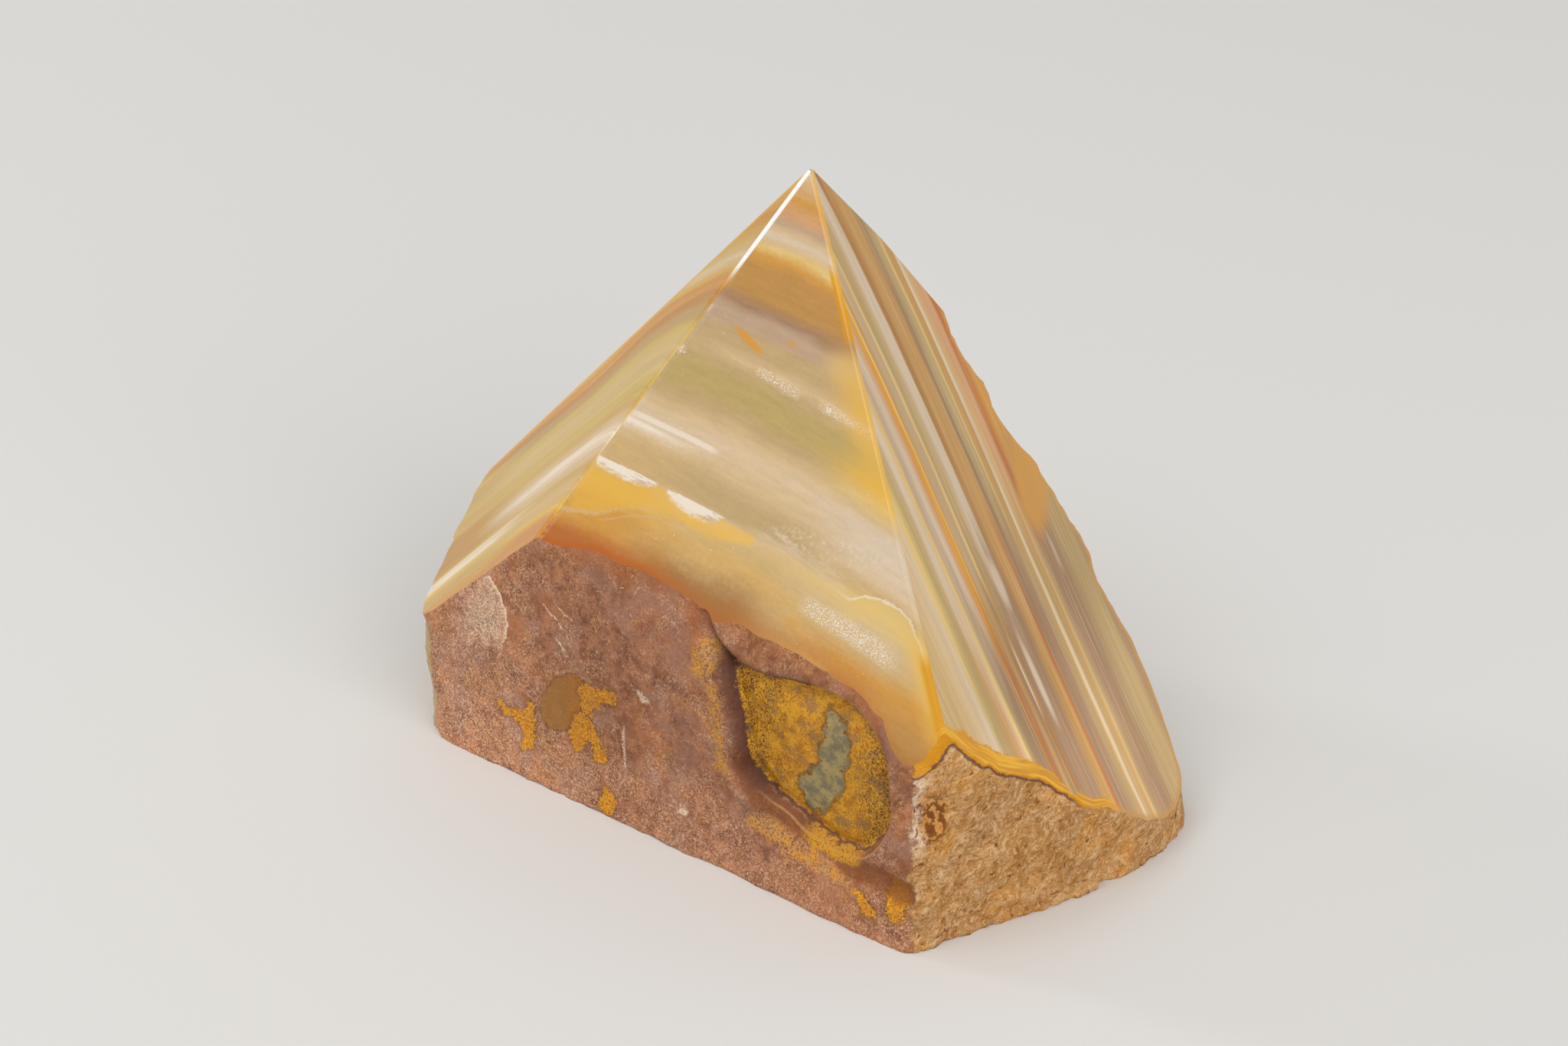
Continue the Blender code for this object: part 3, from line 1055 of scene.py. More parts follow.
# %% The bands of the front facet
class FrontPlace:
    """A place on the front facet, as its colours need to know it."""

    def __init__(self, place):
        self.place = place
        self.right, self.down = spread(place, "front")
        self.depth = depth_in_stack(place)
        self.edge = mark(place.finish, "edge")
        self.cloud = grain(moved(place, (3.0, 1.0, 7.0), (1.0, 1.0, 2.0)), 0.12, 2.0) - 0.5
        self.streak = grain(join(self.right * 0.12, self.depth * 0.9, 3.0), 1.0, 4.0, 0.6) - 0.5
        self.thread = grain(join(self.right * 0.3, self.depth * 3.2, 9.0), 1.0, 3.0, 0.7) - 0.5
        self.fine = grain(place, 2.2, 3.0) - 0.5
        self.frost = grain(place, 6.0, 2.0, 0.9)


def front_bands(at):
    """Three lists of bands, blended from left to right, with clouds and threads in them."""
    soft = at.depth + at.cloud * 0.8 + at.streak * 0.45 + at.fine * 0.12
    left, middle, right = (bands(soft, stops) for stops in (FRONT_LEFT, FRONT_MIDDLE, FRONT_RIGHT))
    colour = mix(rise(at.right, -11.0, 1.0), left, middle)
    colour = mix(rise(at.right + at.cloud * 6.0, 8.0, 20.0), colour, right)
    return shade(colour, at.thread * 0.3 + at.fine * 0.1 + 1.0)


def spot(right, down, centre, size, soft=0.35, tilt=0.0):
    """A soft oval patch on a facet, turned by a tilt."""
    x, y = right - centre[0], down - centre[1]
    across, up = math.cos(tilt), math.sin(tilt)
    long, wide = x * across + y * up, y * across - x * up
    return rise(((long / size[0]) ** 2.0 + (wide / size[1]) ** 2.0) ** 0.5, 1.0 + soft, 1.0 - soft)


print("The front facet faces azimuth", FACETS["front"][0])

# %% [markdown]
# ## The white band and the ledge
#
# A crisp white layer is the first thing one sees on this stone. It is broken into pieces, so a
# drawn line gives its thickness from left to right. Under it the yellow agate ends in a chipped
# crest. Further right a low ledge crosses the facet, with a pale hump at its end. Both are drawn
# lines too, in millimetres right of the tip and down the slope.

# %% The white band and the ledge
WHITE_TOP = -14.07
WHITE_THICK = (
    (-14.0, 0.0), (-13.2, 0.4), (-9.5, 0.52), (-7.0, 0.3), (-5.6, 0.0), (-5.0, 0.0), (-4.0, 0.35),
    (-1.6, 0.6), (0.6, 0.5), (2.2, 0.1), (2.8, 0.0),
)
CREST_FOOT = (
    (-15.0, 40.0), (-11.9, 39.6), (-9.5, 38.6), (-7.1, 37.6), (-4.8, 37.3), (-1.1, 38.1), (1.7, 38.6),
    (4.4, 38.4), (6.8, 38.2),
)
LEDGE = (
    (5.0, 38.6), (6.4, 38.0), (7.5, 37.4), (9.3, 37.5), (13.3, 38.8), (16.8, 39.9), (18.2, 40.3),
    (19.7, 39.6), (21.4, 39.4), (23.7, 39.8), (25.2, 40.7), (26.7, 42.4), (28.2, 44.4), (29.7, 46.3),
)


def white_band(colour, at):
    """The yellow crest with its chipped foot, and the broken white band on top of it."""
    crisp = at.depth + at.streak * 0.2 + at.fine * 0.08
    foot = at.down - course(at.right, CREST_FOOT) + at.streak * 0.8 + at.fine * 0.9
    crest = rise(crisp, WHITE_TOP, WHITE_TOP - 0.3) * rise(foot, 0.5, -0.5)
    crest = crest * between(at.right, -15.0, 6.4, 0.5) * (rise(at.thread, 0.15, -0.1) * 0.3 + 0.5)
    flaky = rise(abs(foot), 0.3, 0.1) * rise(at.right, -2.0, -6.0) * rise(at.cloud + at.fine, -0.08, 0.02)
    second = rise(abs(foot - 0.9 + at.cloud * 3.0), 0.2, 0.08) * between(at.right, -11.0, 0.0, 1.0)
    thick = course(at.right, WHITE_THICK)
    ragged = crisp + thick + at.fine * 0.35 + at.streak * 0.3
    white = rise(crisp, WHITE_TOP + 0.03, WHITE_TOP - 0.04) * rise(thick, 0.02, 0.15)
    white = white * rise(ragged, WHITE_TOP - 0.2, WHITE_TOP + 0.12)
    tail = between(at.depth + at.fine * 0.1, -11.58, -11.3, 0.06) * between(at.right, -11.0, -0.8, 0.8)
    return painted(
        colour,
        (crest, mix(rise(at.right, -8.0, -2.0), YELLOW, LEMON)),
        ((flaky + second * 0.6).at_most(1.0) * 0.6, CREAM),
        (white, mix(rise(at.thread, 0.02, 0.14) * 0.7, WHITE, LAVENDER)),
        (tail * 0.75, WHITE),
    )


def ledge(colour, at):
    """The ledge, light above, yellowish below, a thin white lip on the hump; a painted glow higher up."""
    gap = at.down - course(at.right, LEDGE) + at.fine * 0.5 + at.streak * 0.5
    hump, past = rise(at.right, 16.5, 19.5), rise(at.right, 5.8, 7.5)
    above = between(gap, -1.4, 0.0, 0.5) * past * (rise(at.thread, -0.1, 0.1) * 0.35 + 0.15)
    below = rise(gap, 0.0, 0.25) * rise(gap, 3.4, 0.6) * past
    haze = spot(at.right, at.down, (14.0, 36.2), (5.5, 1.0), 0.7) * rise(at.fine + at.streak, -0.05, 0.15)
    return painted(
        colour,
        (above * (1.0 - hump), PEARL),
        (below * (hump * 0.5 + 0.25), STRAW),
        (between(gap, 0.0, 0.24, 0.1) * past * (hump * 0.6 + 0.1), WHITE),
        (haze * 0.35, WHITE),
        # A painted glow: a soft straw patch of light higher up the facet.
        (spot(at.right, at.down, (11.2, 18.6), (3.0, 1.5), 0.6) * 0.5, STRAW),
    )


print("The ledge is drawn through", len(LEDGE), "points")

# %% [markdown]
# ## Crystals, stains and edges of the front facet
#
# Two layers hold patches of tiny white crystals, called druse, that the lap has opened. Iron has
# left a few orange stains. Along the right ridge the stone is thin, and its yellow glow of light is
# painted on. Over the rind it darkens to rust, and a brown painted shade lies along the rim.

# %% Crystals, stains and edges of the front facet
CHIPPED = (((-7.4, 16.2), (1.2, 0.8), 2.0), ((-8.0, 21.1), (0.5, 0.5), 1.0))
ROUND_STAINS = (
    ((3.8, 17.7), (0.6, 0.35), 0.35, 0.6), ((-3.9, 42.0), (1.1, 0.9), 0.8, 0.4),
    ((13.0, 44.4), (0.7, 0.6), 0.8, 0.4),
)
FRONT_VEIL = (1.03, (-0.025, -0.028, -0.03))


def druse(colour, at):
    """Patches of tiny white crystals, two small chips and a few specks."""
    line = at.depth + at.streak * 0.8
    upper = between(at.right, 1.0, 6.2, 0.4) + between(at.right, 9.0, 15.5, 0.6)
    lower = between(line, -16.25, -15.35, 0.25) * between(at.right, 13.6, 24.6, 1.2)
    sown = between(line, -7.25, -6.85, 0.15) * upper + lower
    for centre, size, stray in CHIPPED:
        sown = sown + spot(at.right + at.fine * stray, at.down + at.fine * stray, centre, size)
    sown = sown.at_most(1.0)
    specks = rise(cells(at.place, 0.7), 0.07, 0.04) * rise(at.cloud, 0.0, 0.1)
    return painted(
        colour, (sown * 0.35, CREAM), (sown * rise(at.frost, 0.5, 0.57), WHITE), (specks * 0.6, WHITE)
    )


def stains(colour, at):
    """One slanting orange stain near the top, and three round ones."""
    stain = spot(at.right + at.fine * 1.6, at.down + at.fine, (-0.8, 18.5), (2.0, 0.42), 0.35, 0.47)
    for centre, size, soft, share in ROUND_STAINS:
        stain = stain + spot(at.right, at.down, centre, size, soft) * share
    return mix(stain.at_most(1.0) * rise(at.fine, -0.2, 0.0) * 0.8, colour, AMBER)


def front_edges(colour, at):
    """Yellow painted glow on the right ridge, brown painted shade and rust over the rind, nicked left
    ridge.
    """
    ridge = below_facet(at.place, "right")
    # Painted glow: yellow light shining through the thin stone along the right ridge.
    painted_glow = rise(ridge, 4.0, 0.3) * between(at.down, 18.0, 31.0, 3.0)
    painted_glow = painted_glow + rise(ridge, 3.0, 0.3) * rise(at.down, 40.0, 45.0)
    painted_brass_glow = rise(ridge, 0.8, 0.5) * between(at.down, 9.6, 15.8, 0.8)
    painted_brass_glow = painted_brass_glow + rise(ridge, 1.1, 0.5) * rise(at.down, 43.0, 45.0)
    frayed = at.edge + at.fine * 1.2
    # Painted shade: brown, near the rim over the rind.
    shadowed = rise(frayed + at.cloud * 4.0, 5.6, 1.0) * between(at.right, -5.0, 9.0, 4.0)
    under = rise(frayed + at.cloud * 2.0, 3.2, 0.2) * rise(at.right, 26.0, 22.0)
    rusty = rise(at.edge + at.fine * 0.8, 0.9, 0.1) * (rise(at.right, 1.0, -5.0) * 0.5 + 0.15)
    nicked = rise(below_facet(at.place, "left"), 0.7, 0.1) * rise(at.down, 33.0, 37.0)
    return painted(
        colour,
        (painted_glow.at_most(1.0) * 0.75, YELLOW),
        (painted_brass_glow.at_most(1.0) * 0.85, BRASS),
        # A thin painted glow right on the ridge near the tip.
        (rise(ridge, 0.35, 0.1) * rise(at.down, 18.0, 9.0) * 0.6, YELLOW),
        (shadowed * 0.85, BARK),
        (under * (rise(at.right, 2.0, -5.0) * 0.25 + 0.35), EMBER),
        (rusty, RUST),
        (nicked * rise(at.frost + at.fine * 0.6, 0.5, 0.6) * 0.8, APRICOT),
    )


def front_colour(place):
    at = FrontPlace(place)
    colour = front_bands(at)
    for draw in (white_band, ledge, druse, stains, front_edges):
        colour = draw(colour, at)
    return clearer(colour, *FRONT_VEIL)


print("The front facet has", 1 + len(ROUND_STAINS), "stains")

# %% [markdown]
# ## The right facet
#
# This one cuts the layers on edge, so it shows them as fine straight stripes. Lower down the same
# stripes turn grey and smoky, because there the stone is clearer. Two lists, high and low on the
# slope, are blended, and a noise that is long one way adds the hair lines.

# %% The right facet
RIGHT_VEIL = (1.03, (-0.035, -0.035, -0.035))
RIGHT_HIGH = (
    (-13.0, SAND), (-11.5, CREAM), (-10.0, PINK), (-9.0, STRAW), (-8.0, OLIVE), (-7.2, BEIGE),
    (-6.2, PEARL), (-5.6, CREAM), (-5.25, STRAW), (-4.8, LAVENDER), (-3.5, LILAC), (-2.8, BLUSH),
    (-2.4, HONEY), (-1.95, AMBER), (-1.75, STRAW), (-1.45, TAN), (-1.1, BEIGE), (-0.3, LAVENDER),
    (0.15, STRAW), (0.5, KHAKI), (1.6, BEIGE), (2.2, LILAC), (3.3, LILAC), (3.6, UMBER),
    (4.8, GOLD), (6.3, GOLD), (6.9, DUSK), (7.6, KHAKI), (8.55, BEIGE), (8.75, STRAW),
    (9.0, GOLD), (9.8, GOLD),
)
RIGHT_HIGH_OUTER = (
    (9.8, GOLD), (9.95, PINK), (10.25, PEARL), (10.5, SAND), (11.4, BLUSH), (12.2, BLUSH),
    (12.8, EMBER), (14.0, HONEY), (18.0, HONEY), (24.0, HONEY),
)
RIGHT_LOW = (
    (-13.0, SAND), (-11.5, CREAM), (-10.0, PEARL), (-9.0, OLIVE), (-8.0, KHAKI), (-7.2, GOLD),
    (-6.2, BLUSH), (-5.7, CREAM), (-5.3, STRAW), (-4.9, KHAKI), (-4.2, DUSK), (-3.0, DUSK),
    (-2.3, UMBER), (-1.95, EMBER), (-1.6, DUSK), (-0.9, TAN), (-0.5, DUSK), (0.3, UMBER),
    (1.0, DUSK), (2.2, MAUVE), (3.6, DUSK), (4.8, TAN), (5.6, GOLD), (6.1, EMBER),
    (6.5, DUSK), (8.0, MAUVE), (9.0, KHAKI), (9.6, GOLD), (9.9, PINK), (10.2, PINK),
    (10.5, KHAKI), (11.4, GOLD),
)
RIGHT_LOW_OUTER = (
    (11.4, GOLD), (11.9, SAND), (12.2, KHAKI), (13.0, MAUVE), (15.0, DUSK), (17.5, KHAKI),
    (19.5, KHAKI), (20.5, DUSK), (24.0, TAN),
)
AMBER_PATCH = ((16.4, 46.0), (3.6, 4.6), 0.3)
PALE_STREAKS = (
    ((2.7, 44.6), (0.7, 2.4), 0.7), ((2.0, 54.5), (0.45, 4.2), 0.8), ((0.1, 53.5), (0.18, 3.6), 0.8),
    ((14.8, 47.0), (0.3, 2.0), 0.4),
)


def banded_in_two(depth, inner, outer):
    """Two ramps end to end, where one has too few stops."""
    seam = inner[-1][0]
    return mix(rise(depth, seam - 0.01, seam + 0.01), bands(depth, inner), bands(depth, outer))


def right_colour(place):
    depth = depth_in_stack(place)
    right, down = spread(place, "right")
    drift = grain(place, 0.09, 2.0) - 0.5
    hair = grain(join(depth * 2.2, down * 0.04, right * 0.02), 1.0, 3.0, 0.75) - 0.5
    thread = grain(join(depth * 5.0, down * 0.05, 6.0), 1.0, 2.0, 0.6)
    lines = depth + drift * 0.5 + hair * 0.35
    high = banded_in_two(lines, RIGHT_HIGH, RIGHT_HIGH_OUTER)
    low = banded_in_two(lines, RIGHT_LOW, RIGHT_LOW_OUTER)
    patchy = grain(join(depth * 0.9, down * 0.08, 1.0), 1.0, 2.0) - 0.5
    colour = mix(rise(down + patchy * 26.0 + lines * 0.4, 36.0, 54.0), high, low)
    colour = painted(
        shade(colour, hair * 0.5 + 1.0),
        (rise(thread, 0.56, 0.68) * 0.5, CREAM),
        (rise(thread, 0.44, 0.32) * 0.4, TAN),
        (spot(depth + drift * 6.0, down + depth * 0.4, *AMBER_PATCH) * 0.85, HONEY),
        *((spot(depth, down, at, size, 0.5) * share, PEARL) for at, size, share in PALE_STREAKS),
    )
    colour = shade(colour, rise(down, 50.0, 65.0) * 0.34 + 1.06)
    return clearer(colour, *RIGHT_VEIL)


print("The right facet shows", len(RIGHT_HIGH) + len(RIGHT_HIGH_OUTER), "bands")

# %% [markdown]
# ## The left facet
#
# Here the layers are cut at a slant, so the bands are softer again. One list is for the upper
# part and one for the far end, where the tints are warmer. The white band of the front facet
# comes round the ridge and runs down to the far left corner.

# %% The left facet
LEFT_VEIL = (1.24, (-0.08, -0.122, -0.18))
LEFT_NEAR = (
    (-18.0, HONEY), (-17.2, STRAW), (-16.4, CREAM), (-15.6, CREAM), (-15.0, SAND), (-14.4, CREAM),
    (-13.6, PEARL), (-12.8, WHITE), (-12.2, PEARL), (-11.6, CREAM), (-11.0, SAND), (-10.3, BISCUIT),
    (-9.6, BISCUIT), (-8.8, REED), (-8.0, REED), (-7.3, REED), (-6.5, BISCUIT), (-5.9, BEIGE),
    (-5.4, LAVENDER), (-5.0, GOLD), (-4.5, TAN), (-4.1, BLUSH), (-3.5, HONEY), (-3.1, APRICOT),
    (-2.7, CREAM), (-2.2, PEARL), (-1.7, CREAM), (-1.0, SAND), (0.5, HONEY), (4.0, STRAW),
    (8.0, GOLD),
)
LEFT_FAR = (
    (-22.4, UMBER), (-21.0, BLUSH), (-20.2, HONEY), (-18.6, HONEY), (-17.6, SAND), (-16.8, SAND),
    (-16.2, STRAW), (-15.7, WHITE), (-15.2, WHITE), (-14.9, BISCUIT), (-14.2, GOLD), (-12.6, GOLD),
    (-11.2, GOLD), (-10.2, SAND), (-9.0, SAND), (-8.2, BISCUIT), (-7.2, BEIGE), (-6.4, SAND),
    (-5.6, BISCUIT), (-4.6, HONEY), (-2.0, STRAW), (3.0, GOLD), (8.0, KHAKI), (12.0, MAUVE),
)


def left_colour(place):
    depth = depth_in_stack(place)
    right, down = spread(place, "left")
    drift = grain(place, 0.1, 2.0) - 0.5
    hair = grain(join(depth * 1.6, down * 0.05, right * 0.05), 1.0, 4.0, 0.7) - 0.5
    thread = grain(join(depth * 3.6, down * 0.08, 6.0), 1.0, 2.0, 0.6)
    lines = depth + drift * 0.4 + hair * 0.4
    colour = mix(rise(down + hair * 8.0, 47.0, 58.0), bands(lines, LEFT_NEAR), bands(lines, LEFT_FAR))
    pale = between(depth, -12.9, -12.1, 0.15) * between(down, 35.0, 46.0, 2.0) * rise(hair, -0.12, 0.02)
    colour = painted(
        shade(colour, hair * 0.35 + 1.0),
        (rise(thread, 0.56, 0.7) * 0.4, CREAM),
        (rise(thread, 0.44, 0.3) * 0.35, GOLD),
        (pale * 0.85, WHITE),
        (between(depth, -15.15, -14.75, 0.12) * rise(down, 44.0, 52.0) * 0.6, WHITE),
        # A thin painted glow of light along the ridge with the back left facet.
        (rise(below_facet(place, "back_left"), 0.6, 0.1) * 0.7, YELLOW),
    )
    return clearer(colour, *LEFT_VEIL)


print("The left facet shows", len(LEFT_NEAR), "bands")

# %% [markdown]
# ## Polish
#
# Agate takes a glassy polish. The shader is a plain dielectric with quartz's index of refraction.
# Where a facet ends on the host rock, the ochre crust shows in section with a feathery inner edge,
# and along the broken walls an orange-brown rim has soaked in. The ridge between the left and the
# front facet carries a painted highlight: near the tip a bright white line is painted on, and
# further down it is rubbed and only dull.

# %% Polish
AGATE_INDEX = 1.54
POLISH, RUBBED = 0.13, 0.45
PAINTED_RIDGE_HIGHLIGHT = (1.0, 0.97, 0.9)
CRUST = shown(238, 178, 44)
CRUST_DEEP = shown(214, 146, 24)
rock_right = along(ROCK_FACING)


def crusted(place, colour):
    """Adds the crust along the host rock and the orange rim along the breaks."""
    edge = mark(place.finish, "edge")
    along_rock = dot(place, rock_right) + MIDDLE.dot(rock_right)
    feather = grain(place, 1.9, 5.0, 0.85) - 0.5
    layers = grain(join(edge * 3.0, along_rock * 0.2, 1.0), 1.0, 2.0)
    on_rock_side = rise(dot(place, direction(ROCK_FACING)), 22.0, 24.0)
    near_rock = on_rock_side * between(along_rock, -5.6, 16.0, 1.2)
    thickness = rise(along_rock, 11.0, 3.0) * 0.9 - rise(along_rock, -2.6, -4.2) * 0.9 + 1.0
    thickness = thickness - between(along_rock, 9.4, 10.8, 0.6) * 0.8
    crust = near_rock * rise(edge + feather * 2.2 - thickness, 0.1, -0.1)
    tint = mix(rise(layers, 0.42, 0.6), CRUST_DEEP, CRUST)
    far = (1.0 - on_rock_side) * rise(dot(place, (1.0, 0.0, 0.0)), -8.0, 4.0)
    soaked = (far + on_rock_side * rise(along_rock, 12.0, 14.0)) * rise(edge + feather * 1.4, 0.8, 0.15)
    return mix(crust, mix(soaked * 0.8, colour, HONEY), tint)


def polished(name, paint):
    finish = Finish(name)
    place = place_on(finish)
    to_ridge = abs(below_facet(place, "left")) + abs(below_facet(place, "front"))
    lower = rise(spread(place, "front")[1], 10.0, 14.0)
    # A painted highlight: the ridge between the left and front facets is painted white near the tip.
    colour = mix(rise(to_ridge, 0.32, 0.18) * (1.0 - lower), crusted(place, paint(place)), PAINTED_RIDGE_HIGHLIGHT)
    roughness = rise(to_ridge, 0.6, 0.3) * lower * RUBBED + POLISH
    finish.set(Base_Color=colour, Roughness=roughness, IOR=AGATE_INDEX)
    return finish.material


polished_left = polished("agate_left", left_colour)
polished_front = polished("agate_front", front_colour)
polished_right = polished("agate_right", right_colour)
print("Three polished finishes")

# %% [markdown]
# ## The rind
#
# The rind is jasper-like: opaque, mauve-brown, waxy where it was rubbed and dusty where it wasn't.
# It is covered with fine pale scratches and specks. Its colours share a few values too, so they
# have a small class of their own. A noise called wander pushes every outline about a little.

# %% The ground colour of the rind
RIND_VEIL = (1.05, (-0.006, -0.019, -0.026))
RIND = shown(164, 112, 84)
RIND_DARK = shown(120, 76, 58)
RIND_RED = shown(176, 110, 74)
RIND_GREY = shown(152, 114, 98)
DUST = shown(204, 168, 136)
OCHRE = shown(170, 108, 8)
OCHRE_LIGHT = shown(216, 154, 30)
OCHRE_DARK = shown(80, 50, 14)
DULL = shown(146, 106, 62)
CRUMB = shown(196, 146, 88)
WINDOW = shown(164, 144, 92)
SHADOW_BROWN = shown(126, 76, 48)
HOLLOW_SHADE = shown(88, 48, 32)
FILM = shown(224, 198, 172)
WINDOW_DARK = shown(116, 110, 84)
SCUFFS = (
    ((-15.6, 18.6), (0.9, 0.2), -0.5), ((-16.8, 21.6), (2.2, 0.1), -0.6),
    ((-15.2, 22.6), (1.6, 0.08), -0.5), ((-7.3, 9.5), (0.16, 2.9), 0.0), ((0.8, 5.1), (0.7, 0.5), 0.3),
    ((-4.6, 16.6), (0.9, 0.5), -0.4),
)


def turned(place, angle, longer, finer, wall="rind"):
    """The place on a wall, turned, drawn out one way and squeezed the other."""
    turn = math.radians(angle)
    right = along(WALLS[wall][0])
    lengthwise = right * math.cos(turn) + UP * math.sin(turn)
    across = UP * math.cos(turn) - right * math.sin(turn)
    return join(dot(place, lengthwise) * longer, dot(place, across) * finer, angle * 0.37)


def scratches(place, angle, share):
    """Fine straight dashes that all run one way on the rind."""
    bent = torn(place, 0.15, 1.5)
    swarm = cells(turned(bent, angle, 0.3, 1.6), 1.0)
    chosen = grain(place, 0.3, 2.0)
    return rise(swarm, 0.09, 0.05) * rise(chosen, 0.62 - share * 0.3, 0.68 - share * 0.3)


def fibres(place, angle):
    """Short soft strokes, as a dusty film leaves in the pores."""
    return rise(grain(turned(place, angle, 0.9, 3.4), 1.0, 3.0, 0.7), 0.58, 0.68)


class RindPlace:
    """A place on the rind, as its colours need to know it."""

    def __init__(self, place):
        self.place = place
        self.right, self.up = mark(place.finish, "rind_place"), dot(place, UP)
        self.middle = grain(place, 0.7, 6.0, 0.65)
        self.fine = grain(place, 4.2, 4.0, 0.8)
        self.wander = self.middle - 0.5

    def mark(self, name):
        return mark(self.place.finish, name)


def rind_ground(at):
    """Mauve-brown, darker in its pores, with redder, greyer and lighter patches."""
    colour = painted(
        mix(rise(at.middle, 0.34, 0.64), RIND_DARK, RIND),
        (rise(grain(at.place, 0.13, 3.0), 0.46, 0.6) * 0.4, RIND_RED),
        (rise(grain(at.place, 0.2, 4.0), 0.5, 0.64) * 0.7, RIND_GREY),
        (rise(at.fine, 0.46, 0.34) * 0.6, RIND_DARK),
    )
    return shade(colour, rise(grain(at.place, 0.32, 5.0, 0.7), 0.35, 0.62) * 0.3 + 0.82)


def dusted(colour, at):
    """Pale dust, thickest to the left and low down, rusty specks, and a glow under the agate."""
    film = grain(at.place, 0.28, 5.0, 0.7)
    dusty = rise(film + rise(at.right, -8.0, -28.0) * 0.12 + rise(at.up, 14.0, 2.0) * 0.12, 0.44, 0.64)
    strokes = fibres(at.place, 58.0).at_least(fibres(at.place, -38.0)).at_least(fibres(at.place, 8.0) * 0.7)
    rusty = rise(grain(at.place, 0.5, 5.0, 0.7), 0.54, 0.64) * rise(at.fine, 0.46, 0.56)
    glow = rise(at.mark("edge") + at.wander * 2.0, 3.0, 0.3)
    return painted(
        colour,
        (rise(at.fine, 0.5, 0.61) * (dusty * 0.85 + 0.06), DUST),
        (strokes * (dusty * 0.45 + 0.2), DUST),
        (rusty * 0.6, CRUMB),
        (glow * (between(at.right, -16.0, -4.0, 4.0) * 0.35 + 0.12), EMBER),
    )


print("The rind has", len(SCUFFS), "scuffs of its own")

# %% [markdown]
# ## Marks on the rind
#
# The pale flake is crisp on its upper right and fades out elsewhere. Scratches run three ways, as
# if the lump had been dragged. The stains follow the outlines that were drawn above, and the
# trough is rubbed smooth, with a painted brown shade in it.

# %% Marks on the rind
def scratched(colour, at):
    """The pale flake, fine scratches in three directions, and the scuffs."""
    frayed = at.mark("flake") + at.wander * 1.4
    crisp_side = rise(at.right, -26.5, -25.0) * rise(at.up, 14.5, 16.5)
    soft_edge = rise(frayed + at.wander * 4.0, -1.6, 2.6)
    pale = soft_edge + (rise(frayed, -0.1, 0.15) - soft_edge) * crisp_side
    pale = pale * rise(at.up + at.wander * 6.0, 11.0, 17.0)
    lines = scratches(at.place, 62.0, 0.6).at_least(scratches(at.place, -35.0, 0.6))
    lines = lines.at_least(scratches(at.place, 12.0, 0.3))
    colour = painted(
        colour,
        (pale * (rise(at.fine, 0.46, 0.6) * 0.6 + 0.2), FILM),
        (between(frayed, -0.2, 0.06, 0.06) * crisp_side * 0.8, FILM),
        (lines * 0.6, FILM),
    )
    right, up = at.right + (at.fine - 0.5) * 1.4, at.up + at.wander * 2.0
    for centre, size, tilt in SCUFFS:
        scuff = spot(right, up, centre, size, 0.3, tilt)
        colour = mix(scuff * rise(at.fine, 0.4, 0.52) * 0.9, colour, FILM)
    return colour


def stained(colour, at):
    """The dull patch, ochre stains with a dark outline, the crumbs, and painted shade in the smooth trough.
    """
    dull = at.mark("dull") + at.wander * 2.4
    spill = at.mark("ochre") + at.wander * 3.4 + (at.fine - 0.5) * 2.0
    crumbs = at.mark("crumbs")
    tinge = rise(at.fine + rise(at.right + at.wander * 3.0, -16.0, -13.5) * 0.12, 0.52, 0.6)
    grains = mix(rise(at.fine, 0.42, 0.6), OCHRE, OCHRE_LIGHT)
    smooth = rise(at.mark("trough") + at.wander * 0.8, 0.2, 0.8) * rise(crumbs, 0.2, -0.8)
    crumbly = rise(crumbs + at.wander * 2.0, -0.6, 0.5) * rise(at.fine, 0.45, 0.52)
    return painted(
        colour,
        (rise(dull, -0.05, 0.08) * (rise(at.fine, 0.4, 0.5) * 0.3 + 0.6), mix(tinge, DULL, OCHRE)),
        (between(dull, -0.22, 0.05, 0.06) * 0.4, OCHRE_DARK),
        (between(spill, -0.35, 0.0, 0.1) * 0.45, OCHRE_DARK),
        (rise(spill, -0.1, 0.1) * 0.95, mix(rise(at.fine, 0.42, 0.34), grains, OCHRE_DARK)),
        (crumbly * 0.9, mix(rise(at.middle, 0.45, 0.6), CRUMB, OCHRE_LIGHT)),
        # Painted shade in the trough below the eye.
        (smooth * 0.75, SHADOW_BROWN),
    )


def rind_colour(at):
    colour = rind_ground(at)
    for draw in (dusted, scratched, stained):
        colour = draw(colour, at)
    colour = shade(colour, rise(at.up, 14.0, 0.0) * 0.28 + rise(at.right, -12.0, -28.0) * 0.22 + 1.0)
    return clearer(colour, *RIND_VEIL)


print("The stains have", len(OCHRE_SPOTS), "outlines")

# %% [markdown]
# ## The eye
#
# The floor of the hollow is stained ochre, with dark specks at both ends and a greenish grey
# window where the stain is gone. Its left wall lies in a painted shadow, and a thin painted shade
# rings the foot of the wall. On the right the lip shows two thin light lines, the ends of small
# ledges.

# %% The eye
def eye_floor(at):
    """Ochre in patches, dark specks at both ends, and the window."""
    patches = grain(at.place, 0.45, 5.0, 0.7)
    left_end = rise(at.right + at.wander * 10.0, 14.0, 9.5)
    right_end = rise(at.right + at.wander * 6.0, 21.5, 24.0)
    speckled = left_end.at_least(right_end) * 0.75 + 0.15
    bare = at.mark("window") + at.wander * 3.4
    return painted(
        mix(rise(at.fine * 0.5 + at.middle * 0.5, 0.4, 0.58), OCHRE, OCHRE_LIGHT),
        (rise(patches, 0.5, 0.6) * 0.75, DULL),
        (rise(patches, 0.42, 0.34) * 0.5, OCHRE_LIGHT),
        (rise(at.fine, 0.52, 0.42) * speckled, OCHRE_DARK),
        (between(bare, -0.3, 0.05, 0.1) * 0.6, OCHRE_DARK),
        (rise(bare, -0.06, 0.08) * 0.95, mix(rise(at.middle, 0.42, 0.6), WINDOW, WINDOW_DARK)),
    )


